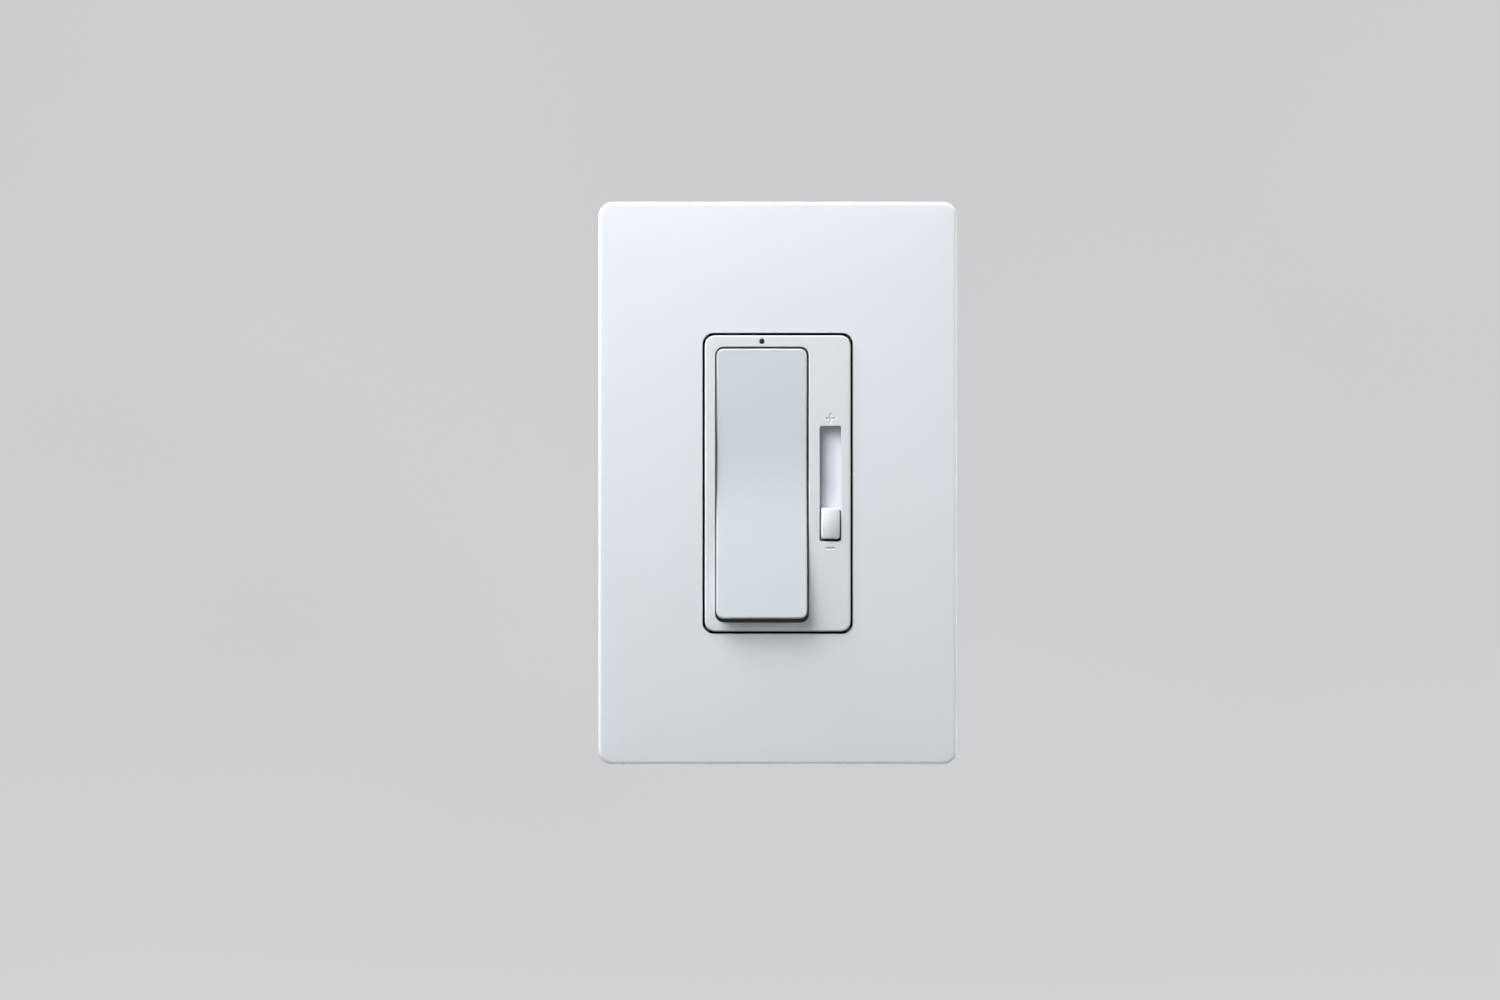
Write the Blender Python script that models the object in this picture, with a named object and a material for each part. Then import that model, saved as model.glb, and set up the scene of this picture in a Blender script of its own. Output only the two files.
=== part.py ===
"""Wall dimmer with a rocker paddle and a slide control, in a screwless single-gang wall plate.

Lengths below are millimetres. The origin is the centre of the plate on the wall surface, +X is right,
+Z is up, the front of the plate faces -Y and the housing goes into the wall box, towards +Y.
"""

import math

import bmesh
import bpy
from mathutils import Vector

MM = 0.001

# Wall plate cover and the sub-plate it clips onto
PLATE_W, PLATE_H, PLATE_R = 79.6, 125.0, 3.2
PLATE_FRONT = -6.6
PLATE_WALL = 1.8
PLATE_EDGE = 0.8
OPENING_W, OPENING_H, OPENING_R = 33.3, 66.7, 2.4
LIP_WALL, LIP_BACK = 1.2, -4.0
CATCH_X, CATCH_W = 20.0, 7.0
SUB_W, SUB_H, SUB_R = 75.0, 120.4, 2.2
SUB_FRONT, SUB_BACK, SUB_FOOT = -3.7, -2.2, -0.3
SUB_SKIRT = 1.2
SUB_OPENING_W, SUB_OPENING_H = 35.0, 68.4

# Device yoke: standard single-gang screw positions, above and below the centre
BOX_SCREW_Z = 41.67
PLATE_SCREW_Z = 48.42
YOKE_FRONT, YOKE_PANEL_BACK, YOKE_EAR_FRONT = -1.9, -0.3, -1.6
YOKE_HALF_W, YOKE_HALF_H, EAR_HALF_W, EAR_END = 22.0, 36.0, 11.0, 52.75
TAB_X, TAB_Z, TAB_R = 14.0, 48.8, 4.0
GROUND_X, GROUND_Z = -14.0, -39.2

# Screws: shank radii are a little under the thread's outer radius; holes clear them
BOX_SHANK, BOX_HEAD_R, BOX_SCREW_END = 1.65, 3.5, 22.0
PLATE_SHANK, PLATE_HEAD_R, PLATE_SCREW_END = 1.5, 3.1, 6.2
HOLE_R = 1.8
RETAINER_W, RETAINER_H, RETAINER_FRONT, RETAINER_BACK = 9.0, 8.4, 0.3, 1.1
BODY_SHANK, BODY_HEAD_R, BODY_SCREW_START = 1.25, 2.4, -1.75

# Bezel, with its paddle window and its slider slot
BEZEL_W, BEZEL_H, BEZEL_R = 32.3, 65.6, 2.2
BEZEL_FRONT, BEZEL_BACK = -7.2, -2.2
BEZEL_FACE, BEZEL_WALL, BEZEL_EDGE = 1.6, 1.2, 0.4
BEZEL_FLANGE, BEZEL_FLANGE_T = 1.0, 0.7
WINDOW_X, WINDOW_Z, WINDOW_W, WINDOW_H, WINDOW_R = -3.475, -0.3, 20.75, 61.1, 1.9
SLOT_X, SLOT_Z, SLOT_W, SLOT_H, SLOT_R = 11.68, -0.1, 4.75, 25.6, 0.5
MARK_X, MARK_Z, MARK_W, MARK_H, MARK_STROKE, MARK_DEPTH = 11.65, 14.4, 2.1, 2.4, 0.4, 0.25
LIGHT_Z, LIGHT_R = 31.45, 0.45
LEG_X = 10.0

# Rocker paddle: a shallow V that tilts about a cross axis behind its middle
ROCKER_X, ROCKER_Y = -3.5, -3.4
PADDLE_X, PADDLE_Z, PADDLE_W, PADDLE_H, PADDLE_R = -3.55, -0.2, 20.1, 59.8, 1.6
PADDLE_ANGLE = math.radians(4.2)
PADDLE_BLEND = 8.3
PADDLE_VERTEX = -6.3
PADDLE_SKIN, PADDLE_SKIRT, PADDLE_BACK = 1.4, 1.2, -3.9
ROCKER_TILT = -2.6
PIN_R, PIN_LEFT, PIN_RIGHT = 1.2, -15.25, 8.2
LUG_FRONT, LUG_HALF = -5.0, 2.0
STEM_R, STEM_BORE, STEM_ROOT, STEM_BORE_END, STEM_END = 2.5, 1.7, -5.6, -4.2, 4.5
PLUNGER_R, PLUNGER_BACK, PLUNGER_TIP = 1.35, 0.6, 7.8
SPRING_R, SPRING_WIRE, SPRING_START, SPRING_END, SPRING_TURNS = 1.12, 0.2, -3.7, 0.1, 5

# Contact arm, which the plunger tips one way or the other
CONTACT_Y = 8.6
CONTACT_TILT = 3.9
RIVET_Z = 9.5
BLADE_HALF_W, BLADE_HALF_T, BLADE_HALF_H = 2.5, 0.4, 11.5
FIXED_FRONT, FIXED_BACK, SOLDER_TAIL = 11.5, 12.1, 14.1
BASE_HALF_W, BASE_H, BASE_FRONT, BASE_FLOOR, BASE_BACK = 6.5, 32.0, 9.5, 12.4, 13.8

# Slide control
SLIDER_X = 11.68
KNOB_Z, KNOB_W, KNOB_H = -8.85, 4.1, 6.9
CARRIER_LEFT, CARRIER_RIGHT, CARRIER_TOP, CARRIER_BOTTOM = 8.7, 14.65, 13.4, -30.9
CARRIER_FRONT, CARRIER_BACK = -5.3, -4.6

# Rear housing, circuit board and side terminals
BODY_W, BODY_H, BODY_R, BODY_BACK, BODY_WALL = 44.5, 69.5, 3.0, 33.0, 1.6
BOSS_X, BOSS_Z, BOSS_R = 18.2, 30.7, 3.0
BOARD_W, BOARD_H, BOARD_FRONT, BOARD_BACK = 35.0, 54.0, 14.4, 15.6
TERMINAL_Y = 11.5
TERMINALS = {"common": (-1, -8.0), "traveller_upper": (1, 12.5), "traveller_lower": (1, -12.5)}
TERMINAL_BLOCK, TERMINAL_POCKET, TERMINAL_PLATE, TERMINAL_CLAMP = 6.6, 5.5, 5.1, 4.4
TERMINAL_SHANK, TERMINAL_HEAD_R = 1.5, 3.4
TRIAC_X, TRIAC_HOLE_Z = -13.5, 23.6

WHITE = (0.86, 0.87, 0.88)
BEZEL_WHITE = (0.80, 0.81, 0.83)
PADDLE_WHITE = (0.78, 0.79, 0.81)
STEEL = (0.62, 0.63, 0.64)
BRASS = (0.72, 0.53, 0.24)


# Shapes are (points, faces) in millimetres.

def loft(loops):
    """A closed shape through loops of equal length, with a flat cap on each end."""
    count = len(loops[0])
    points = [point for loop in loops for point in loop]
    faces = [tuple(range(count)), tuple(range(len(points) - 1, len(points) - count - 1, -1))]
    for level in range(len(loops) - 1):
        start = level * count
        for i in range(count):
            j = (i + 1) % count
            faces.append((start + j, start + i, start + count + i, start + count + j))
    return points, faces


def box(x0, x1, y0, y1, z0, z1):
    bottom = [(x0, y0, z0), (x1, y0, z0), (x1, y1, z0), (x0, y1, z0)]
    return loft([bottom, [(x, y, z1) for x, y, _ in bottom]])


def rounded(x, z, width, height, radius, y, steps=5):
    """A rectangle with round corners, facing along Y."""
    loop = []
    for turn, (side, end) in enumerate(((1, 1), (-1, 1), (-1, -1), (1, -1))):
        for i in range(steps + 1):
            angle = math.radians(90 * turn + 90 * i / steps)
            corner_x = x + side * (width / 2 - radius)
            corner_z = z + end * (height / 2 - radius)
            loop.append((corner_x + radius * math.cos(angle), y, corner_z + radius * math.sin(angle)))
    return loop


def slab(x, z, width, height, radius, y0, y1, steps=5):
    return loft([rounded(x, z, width, height, radius, y, steps) for y in (y0, y1)])


def edged_slab(width, height, radius, front, back, edge):
    """A slab on the centre line whose front edge is rounded by `edge`."""
    loops = []
    for turn in (0, 30, 60, 90):
        angle = math.radians(turn)
        inset = edge * (1 - math.sin(angle))
        y = front + edge * (1 - math.cos(angle))
        loops.append(rounded(0, 0, width - 2 * inset, height - 2 * inset, radius - inset, y))
    return loft(loops + [rounded(0, 0, width, height, radius, back)])


def turned(axis, centre, profile, sides=16):
    """A lathe shape: profile is (distance along the axis, radius) pairs, centre the other two coordinates."""
    loops = []
    for along, radius in profile:
        loop = []
        for i in range(sides):
            angle = 2 * math.pi * i / sides
            u = centre[0] + radius * math.cos(angle)
            v = centre[1] + radius * math.sin(angle)
            loop.append({"X": (along, u, v), "Y": (u, along, v), "Z": (u, v, along)}[axis])
        loops.append(loop)
    return loft(loops)


def rod(axis, centre, radius, start, end, sides=16):
    return turned(axis, centre, [(start, radius), (end, radius)], sides)


def side_profile(outline, x0, x1):
    """A (y, z) outline pulled out along X."""
    return loft([[(x, y, z) for y, z in outline] for x in (x0, x1)])


def tube(path, radius, sides=6):
    """A round wire along a path of points, with flat ends."""
    path = [Vector(point) for point in path]
    loops = []
    normal = None
    for i, point in enumerate(path):
        ahead = path[min(i + 1, len(path) - 1)] - path[max(i - 1, 0)]
        ahead.normalize()
        if normal is None:
            normal = ahead.orthogonal().normalized()
        normal = (normal - ahead * normal.dot(ahead)).normalized()
        across = ahead.cross(normal)
        loops.append([tuple(point + radius * (math.cos(2 * math.pi * k / sides) * normal
                                              + math.sin(2 * math.pi * k / sides) * across))
                      for k in range(sides)])
    return loft(loops)


# Objects

def material(name, colour, roughness, metallic=0.0):
    made = bpy.data.materials.new(name)
    made.use_nodes = True
    surface = made.node_tree.nodes["Principled BSDF"]
    surface.inputs["Base Color"].default_value = (*colour, 1.0)
    surface.inputs["Roughness"].default_value = roughness
    surface.inputs["Metallic"].default_value = metallic
    return made


def mesh_object(name, shapes, origin):
    """One mesh holding every shape, with its faces turned outwards."""
    built = bmesh.new()
    for points, faces in shapes:
        made = [built.verts.new([(value - start) * MM for value, start in zip(point, origin)])
                for point in points]
        for face in faces:
            built.faces.new([made[i] for i in face])
    bmesh.ops.recalc_face_normals(built, faces=built.faces)
    mesh = bpy.data.meshes.new(name)
    built.to_mesh(mesh)
    built.free()
    item = bpy.data.objects.new(name, mesh)
    bpy.context.scene.collection.objects.link(item)
    return item


def boolean(item, operation, shapes, origin):
    other = mesh_object(item.name + "_tool", shapes, origin)
    modifier = item.modifiers.new(operation.lower(), "BOOLEAN")
    modifier.operation = operation
    modifier.solver = "EXACT"
    modifier.use_self = len(shapes) > 1
    modifier.object = other
    graph = bpy.context.evaluated_depsgraph_get()
    result = bpy.data.meshes.new_from_object(item.evaluated_get(graph))
    item.modifiers.clear()
    item.data = result
    bpy.data.objects.remove(other)


def solid(name, look, base, *steps, origin=(0.0, 0.0, 0.0), tilt=0.0, smooth=True):
    """One closed piece: a base shape, then ("UNION", "DIFFERENCE" or "INTERSECT", shapes) steps in order."""
    item = mesh_object(name, [base], origin)
    for operation, shapes in steps:
        boolean(item, operation, shapes, origin)
    item.location = [value * MM for value in origin]
    item.rotation_euler = (math.radians(tilt), 0.0, 0.0)
    item.data.materials.clear()
    item.data.materials.append(material(name + "_look", *look))
    if smooth:
        item.data.shade_smooth()
        item.data.set_sharp_from_angle(angle=math.radians(35))
    return item


def both(make):
    """The shapes that make(side) gives above and below the centre."""
    return [make(1), make(-1)]


def corners(make):
    return [make(side, end) for side in (-1, 1) for end in (-1, 1)]


# Wall plate

def wall_plate_cover():
    inner_w, inner_h = PLATE_W - 2 * PLATE_WALL, PLATE_H - 2 * PLATE_WALL
    lip_w, lip_h = OPENING_W + 2 * LIP_WALL, OPENING_H + 2 * LIP_WALL
    inner_back = PLATE_FRONT + PLATE_WALL
    edge = inner_h / 2
    catches = corners(lambda side, end: box(
        side * CATCH_X - CATCH_W / 2, side * CATCH_X + CATCH_W / 2, -1.3, -0.5,
        min(end * (edge - 1.0), end * (edge + 0.3)), max(end * (edge - 1.0), end * (edge + 0.3))))
    solid("wall_plate_cover", (WHITE, 0.36),
          edged_slab(PLATE_W, PLATE_H, PLATE_R, PLATE_FRONT, 0.0, PLATE_EDGE),
          ("DIFFERENCE", [slab(0, 0, inner_w, inner_h, 1.6, inner_back, 1.0)]),
          ("UNION", [slab(0, 0, lip_w, lip_h, OPENING_R + LIP_WALL, inner_back - 0.4, LIP_BACK)] + catches),
          ("DIFFERENCE", [slab(0, 0, OPENING_W, OPENING_H, OPENING_R, PLATE_FRONT - 1, 1.0)]))


def subplate():
    inner_w, inner_h = SUB_W - 2 * SUB_SKIRT, SUB_H - 2 * SUB_SKIRT
    bosses = both(lambda end: rod("Y", (0, end * PLATE_SCREW_Z), 4.6, SUB_BACK - 0.4, -1.95))
    sinks = both(lambda end: turned("Y", (0, end * PLATE_SCREW_Z), [
        (SUB_FRONT - 0.5, 4.0), (-2.0, HOLE_R), (0.0, HOLE_R)]))
    clearances = both(lambda end: rod("Y", (0, end * (BOX_SCREW_Z - 0.8)), 4.4, SUB_FRONT - 1, 0.0, 20))
    notches = corners(lambda side, end: box(
        side * CATCH_X - CATCH_W / 2 - 0.6, side * CATCH_X + CATCH_W / 2 + 0.6, -1.6, 0.5,
        end * SUB_H / 2 - 2.0, end * SUB_H / 2 + 2.0))
    solid("subplate", ((0.78, 0.79, 0.80), 0.5),
          slab(0, 0, SUB_W, SUB_H, SUB_R, SUB_FRONT, SUB_FOOT),
          ("DIFFERENCE", [slab(0, 0, inner_w, inner_h, 1.0, SUB_BACK, 1.0)]),
          ("UNION", bosses),
          ("DIFFERENCE", [slab(0, 0, SUB_OPENING_W, SUB_OPENING_H, 2.6, SUB_FRONT - 1, 1.0)]
           + sinks + clearances + notches))


def subplate_screws():
    for name, end in (("top", 1), ("bottom", -1)):
        z = end * PLATE_SCREW_Z
        solid("subplate_screw_" + name, (STEEL, 0.32, 1.0),
              turned("Y", (0, z), [(-3.6, PLATE_HEAD_R), (-3.3, PLATE_HEAD_R), (YOKE_FRONT, PLATE_SHANK),
                                   (PLATE_SCREW_END - 0.6, PLATE_SHANK), (PLATE_SCREW_END, 1.0)]),
              ("DIFFERENCE", [box(-4.0, 4.0, -4.5, -3.0, z - 0.4, z + 0.4)]))


# Yoke and its hardware

def yoke():
    ears = both(lambda end: slab(0, end * (EAR_END + 33.0) / 2, 2 * EAR_HALF_W, EAR_END - 33.0, 1.5,
                                 YOKE_EAR_FRONT, 0.0))
    tabs = corners(lambda side, end: rod("Y", (side * TAB_X, end * TAB_Z), TAB_R, YOKE_EAR_FRONT, 0.0, 20))
    necks = corners(lambda side, end: box(
        min(side * 9.0, side * 13.0), max(side * 9.0, side * 13.0), YOKE_EAR_FRONT, 0.0,
        end * TAB_Z - 1.8, end * TAB_Z + 1.8))
    ground_lobe = slab(-12.5, -38.0, 12.0, 10.0, 1.5, YOKE_EAR_FRONT, 0.0)
    slots = both(lambda end: slab(0, end * BOX_SCREW_Z, 8.0, 4.4, 2.1, -3.0, 1.0))
    plate_holes = both(lambda end: rod("Y", (0, end * PLATE_SCREW_Z), HOLE_R, -3.0, 1.0))
    legs = corners(lambda side, end: box(
        side * LEG_X - 2.5, side * LEG_X + 2.5, -3.0, 1.0,
        min(end * 31.2, end * 33.2), max(end * 31.2, end * 33.2)))
    body_holes = corners(lambda side, end: rod("Y", (side * BOSS_X, end * BOSS_Z), 1.6, -3.0, 1.0))
    solid("yoke", ((0.70, 0.71, 0.72), 0.34, 1.0),
          slab(0, 0, 2 * YOKE_HALF_W, 2 * YOKE_HALF_H, 2.0, YOKE_FRONT, YOKE_PANEL_BACK),
          ("UNION", ears + tabs + necks + [ground_lobe]),
          ("DIFFERENCE", slots + plate_holes + legs + body_holes + [
              slab(ROCKER_X, 0, 8.0, 8.0, 1.0, -3.0, 1.0),
              slab(SLIDER_X, 0, 3.2, 23.0, 1.5, -3.0, 1.0),
              rod("Y", (ROCKER_X, LIGHT_Z), 0.85, -3.0, 1.0, 12),
              rod("Y", (TRIAC_X, TRIAC_HOLE_Z), HOLE_R, -3.0, 1.0),
              rod("Y", (GROUND_X, GROUND_Z), HOLE_R, -3.0, 1.0)]))


def box_screws():
    for name, end in (("top", 1), ("bottom", -1)):
        z = end * BOX_SCREW_Z
        solid("box_screw_" + name, (STEEL, 0.3, 1.0),
              turned("Y", (0, z), [(-4.0, 1.6), (-3.7, 2.8), (-3.1, BOX_HEAD_R - 0.1), (-1.95, BOX_HEAD_R),
                                   (YOKE_FRONT, BOX_SHANK), (BOX_SCREW_END - 1.0, BOX_SHANK),
                                   (BOX_SCREW_END, 0.9)]),
              ("DIFFERENCE", [box(-4.0, 4.0, -5.0, -3.1, z - 0.45, z + 0.45),
                              box(-0.45, 0.45, -5.0, -3.1, z - 4.0, z + 4.0)]))
        solid("screw_retainer_" + name, ((0.45, 0.30, 0.20), 0.8),
              slab(0, z, RETAINER_W, RETAINER_H, 1.0, RETAINER_FRONT, RETAINER_BACK),
              ("DIFFERENCE", [rod("Y", (0, z), BOX_SHANK + 0.3, -1.0, 2.0)]))


def ground_terminal():
    solid("ground_clamp", ((0.62, 0.60, 0.50), 0.35, 1.0),
          slab(GROUND_X, GROUND_Z, 8.0, 6.6, 0.6, 0.4, 1.4),
          ("DIFFERENCE", [rod("Y", (GROUND_X, GROUND_Z), 1.85, -1.0, 2.0)]))
    solid("ground_screw", ((0.05, 0.35, 0.14), 0.35, 0.8),
          turned("Y", (GROUND_X, GROUND_Z), [(-1.8, 1.2), (-1.4, 1.5), (1.7, 1.5), (1.75, 3.3),
                                             (2.5, 3.3), (2.55, 2.8), (4.0, 2.7)], 18),
          ("DIFFERENCE", [box(GROUND_X - 4, GROUND_X + 4, 3.1, 5.0, GROUND_Z - 0.5, GROUND_Z + 0.5)]))


# Bezel and what shows through it

def engraved_marks():
    front, back = BEZEL_FRONT - 1.0, BEZEL_FRONT + MARK_DEPTH
    half, stroke = MARK_W / 2, MARK_STROKE / 2
    return [
        box(MARK_X - half, MARK_X + half, front, back, MARK_Z - stroke, MARK_Z + stroke),
        box(MARK_X - stroke, MARK_X + stroke, front, back, MARK_Z - MARK_H / 2, MARK_Z + MARK_H / 2),
        box(MARK_X - half, MARK_X + half, front, back, -MARK_Z - stroke, -MARK_Z + stroke)]


def bezel_leg(side, end):
    outer, inner = BEZEL_H / 2, BEZEL_H / 2 - BEZEL_WALL
    low, high = sorted((end * inner, end * outer))
    return box(side * LEG_X - 2.0, side * LEG_X + 2.0, BEZEL_BACK - 1.0, 1.4, low, high)


def bezel_hook(side, end):
    low, high = sorted((end * 30.5, end * 32.3))
    return box(side * LEG_X - 2.0, side * LEG_X + 2.0, 0.1, 1.4, low, high)


def bezel():
    inner_w, inner_h = BEZEL_W - 2 * BEZEL_WALL, BEZEL_H - 2 * BEZEL_WALL
    inner_back = BEZEL_FRONT + BEZEL_FACE
    left_wall = -BEZEL_W / 2 + BEZEL_WALL
    flange = slab(0, 0, BEZEL_W + 2 * BEZEL_FLANGE, BEZEL_H + 2 * BEZEL_FLANGE, BEZEL_R + BEZEL_FLANGE,
                  BEZEL_BACK - BEZEL_FLANGE_T, BEZEL_BACK)
    solid("bezel", (BEZEL_WHITE, 0.38),
          edged_slab(BEZEL_W, BEZEL_H, BEZEL_R, BEZEL_FRONT, BEZEL_BACK, BEZEL_EDGE),
          ("UNION", [flange]),
          ("DIFFERENCE", [slab(0, 0, inner_w, inner_h, 1.0, inner_back, 1.0)]),
          ("UNION", corners(bezel_leg) + corners(bezel_hook)
           + [box(7.2, 8.4, inner_back - 0.3, BEZEL_BACK, -3.2, 3.2)]),
          ("DIFFERENCE", engraved_marks() + [
              slab(WINDOW_X, WINDOW_Z, WINDOW_W, WINDOW_H, WINDOW_R, -9.0, -5.0),
              slab(SLOT_X, SLOT_Z, SLOT_W, SLOT_H, SLOT_R, -9.0, -5.0, 3),
              box(left_wall - 0.6, left_wall + 0.4, ROCKER_Y - 1.5, 0.0, -1.5, 1.5),
              box(7.0, 8.6, ROCKER_Y - 1.5, 0.0, -1.5, 1.5),
              rod("Y", (ROCKER_X, LIGHT_Z), 0.65, -9.0, 0.0, 12)]))


def locator_light():
    front = BEZEL_FRONT - 0.05
    solid("locator_light_pipe", ((0.20, 0.19, 0.17), 0.2),
          rod("Y", (ROCKER_X, LIGHT_Z), LIGHT_R, front, 11.0, 12),
          ("UNION", [box(ROCKER_X - 1.2, ROCKER_X + 1.2, 9.6, 12.6, 24.4, 32.4)]))
    solid("locator_led", ((0.80, 0.78, 0.60), 0.3),
          slab(ROCKER_X, 25.6, 2.8, 2.6, 0.3, 12.9, 14.1, 2))


# Rocker

def paddle_face(offset, low, high):
    """(y, z) points of the V-shaped face, moved back by offset, from its low to its high end."""
    points = []
    steps = 24
    for i in range(steps + 1):
        z = low + (high - low) * i / steps
        depth = abs(z) if abs(z) > PADDLE_BLEND else (z * z + PADDLE_BLEND ** 2) / (2 * PADDLE_BLEND)
        points.append((PADDLE_VERTEX - math.tan(PADDLE_ANGLE) * depth + offset, z))
    return points


def paddle_block(offset, margin, back):
    """The paddle's side view pulled out along X, larger than the paddle all round by margin."""
    low = PADDLE_Z - PADDLE_H / 2 - margin
    high = PADDLE_Z + PADDLE_H / 2 + margin
    half_w = PADDLE_W / 2 + margin
    outline = paddle_face(offset, low, high) + [(back, high), (back, low)]
    return side_profile(outline, PADDLE_X - half_w, PADDLE_X + half_w)


def rocker_paddle():
    left, right = PADDLE_X - PADDLE_W / 2, PADDLE_X + PADDLE_W / 2
    outline = slab(PADDLE_X, PADDLE_Z, PADDLE_W, PADDLE_H, PADDLE_R, -12.0, 0.0)
    lugs = [box(left, left + PADDLE_SKIRT, LUG_FRONT, ROCKER_Y + 1.0, -LUG_HALF, LUG_HALF),
            box(right - PADDLE_SKIRT, right, LUG_FRONT, ROCKER_Y + 1.0, -LUG_HALF, LUG_HALF)]
    pins = [rod("X", (ROCKER_Y, 0), PIN_R, PIN_LEFT, left + 0.8),
            rod("X", (ROCKER_Y, 0), PIN_R, right - 0.8, PIN_RIGHT)]
    rib = box(left + 0.6, right - 0.6, -6.0, -4.4, -0.7, 0.7)
    stem = rod("Y", (ROCKER_X, 0), STEM_R, STEM_ROOT, STEM_END)
    solid("rocker_paddle", (PADDLE_WHITE, 0.34),
          paddle_block(0.0, 1.0, PADDLE_BACK),
          ("INTERSECT", [outline]),
          ("DIFFERENCE", [paddle_block(PADDLE_SKIN, -PADDLE_SKIRT, 0.0)]),
          ("UNION", lugs + pins + [rib, stem]),
          ("DIFFERENCE", [rod("Y", (ROCKER_X, 0), STEM_BORE, STEM_BORE_END, STEM_END + 1.0)]),
          origin=(ROCKER_X, ROCKER_Y, 0.0), tilt=ROCKER_TILT)


def coil(x, z, radius, y0, y1, turns, per_turn=10):
    """Points of a spring along Y, its ends wound flat."""
    points = []
    total = turns * per_turn
    for i in range(total + 1):
        angle = 2 * math.pi * i / per_turn
        points.append((x + radius * math.cos(angle), y0 + (y1 - y0) * i / total,
                       z + radius * math.sin(angle)))
    return points


def plunger_parts():
    pivot = (ROCKER_X, ROCKER_Y, 0.0)
    solid("plunger", ((0.80, 0.78, 0.70), 0.4),
          turned("Y", (ROCKER_X, 0), [(PLUNGER_BACK, PLUNGER_R), (PLUNGER_TIP - 1.0, PLUNGER_R),
                                      (PLUNGER_TIP - 0.3, 1.0), (PLUNGER_TIP, 0.4)], 14),
          origin=pivot, tilt=ROCKER_TILT)
    solid("plunger_spring", (STEEL, 0.3, 1.0),
          tube(coil(ROCKER_X, 0, SPRING_R, SPRING_START, SPRING_END, SPRING_TURNS), SPRING_WIRE, 5),
          origin=pivot, tilt=ROCKER_TILT)


# Switch contacts

def contact_arm():
    pivot = (ROCKER_X, CONTACT_Y, 0.0)
    left, right = ROCKER_X - BLADE_HALF_W, ROCKER_X + BLADE_HALF_W
    solid("contact_blade", ((0.78, 0.45, 0.28), 0.3, 1.0),
          box(left, right, CONTACT_Y - BLADE_HALF_T, CONTACT_Y + BLADE_HALF_T, -BLADE_HALF_H, BLADE_HALF_H),
          ("UNION", [rod("X", (CONTACT_Y, 0), 0.6, left - 1.8, left + 0.4, 10),
                     rod("X", (CONTACT_Y, 0), 0.6, right - 0.4, right + 1.8, 10)]),
          ("DIFFERENCE", both(lambda end: rod("Y", (ROCKER_X, end * RIVET_Z), 1.1, 7.0, 10.0, 12))),
          origin=pivot, tilt=CONTACT_TILT)
    for name, end in (("upper", 1), ("lower", -1)):
        solid("contact_rivet_" + name, ((0.80, 0.80, 0.78), 0.25, 1.0),
              turned("Y", (ROCKER_X, end * RIVET_Z), [
                  (7.55, 1.2), (7.6, 1.5), (7.95, 1.5), (7.95, 0.8), (9.25, 0.8), (9.25, 1.6),
                  (9.75, 1.6), (9.9, 1.2)], 12),
              origin=pivot, tilt=CONTACT_TILT)


def fixed_contacts():
    left, right = ROCKER_X - BLADE_HALF_W, ROCKER_X + BLADE_HALF_W
    for name, end in (("upper", 1), ("lower", -1)):
        low, high = sorted((end * 7.0, end * 13.5))
        tail_low, tail_high = sorted((end * 12.7, end * 13.5))
        solid(name + "_contact", (BRASS, 0.35, 1.0),
              box(left, right, FIXED_FRONT, FIXED_BACK, low, high),
              ("UNION", [turned("Y", (ROCKER_X, end * RIVET_Z), [(11.0, 1.3), (11.15, 1.6), (11.8, 1.6)], 12),
                         box(ROCKER_X - 1.0, ROCKER_X + 1.0, 11.8, SOLDER_TAIL, tail_low, tail_high)]))
    outer_left, outer_right = ROCKER_X - 4.5, ROCKER_X + 4.5
    solid("fulcrum_bracket", (BRASS, 0.35, 1.0),
          box(outer_left, outer_right, 11.4, 12.1, -2.0, 2.0),
          ("UNION", [box(outer_left, outer_left + 0.9, 7.6, 11.8, -2.0, 2.0),
                     box(outer_right - 0.9, outer_right, 7.6, 11.8, -2.0, 2.0),
                     box(ROCKER_X - 1.0, ROCKER_X + 1.0, 11.8, SOLDER_TAIL, -0.4, 0.4)]),
          ("DIFFERENCE", [box(outer_left - 1.0, outer_right + 1.0, 7.0, 9.5, -0.9, 0.9)]))


def switch_base():
    width = 2 * BASE_HALF_W
    tails = [box(ROCKER_X - 1.4, ROCKER_X + 1.4, 12.0, 15.0, z - 0.8, z + 0.8) for z in (-13.1, 0.0, 13.1)]
    solid("switch_base", ((0.16, 0.15, 0.14), 0.5),
          slab(ROCKER_X, 0, width, BASE_H, 1.2, BASE_FRONT, BASE_BACK, 3),
          ("DIFFERENCE", [slab(ROCKER_X, 0, width - 2.0, BASE_H - 2.0, 0.6, 8.0, BASE_FLOOR, 2)] + tails))


# Slide control

def knob_face():
    """(y, z) outline of the knob: the face rises towards its lower end."""
    half = KNOB_H / 2
    front = [(-5.6, half), (-6.9, half), (-7.25, half - 0.3)]
    for i in range(7):
        share = i / 6
        front.append((-7.35 - 0.85 * math.sin(share * math.pi / 2), half - 0.6 - (KNOB_H - 1.0) * share))
    front += [(-8.05, -half + 0.1), (-7.8, -half), (-5.6, -half)]
    return [(y, KNOB_Z + z) for y, z in front]


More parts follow.
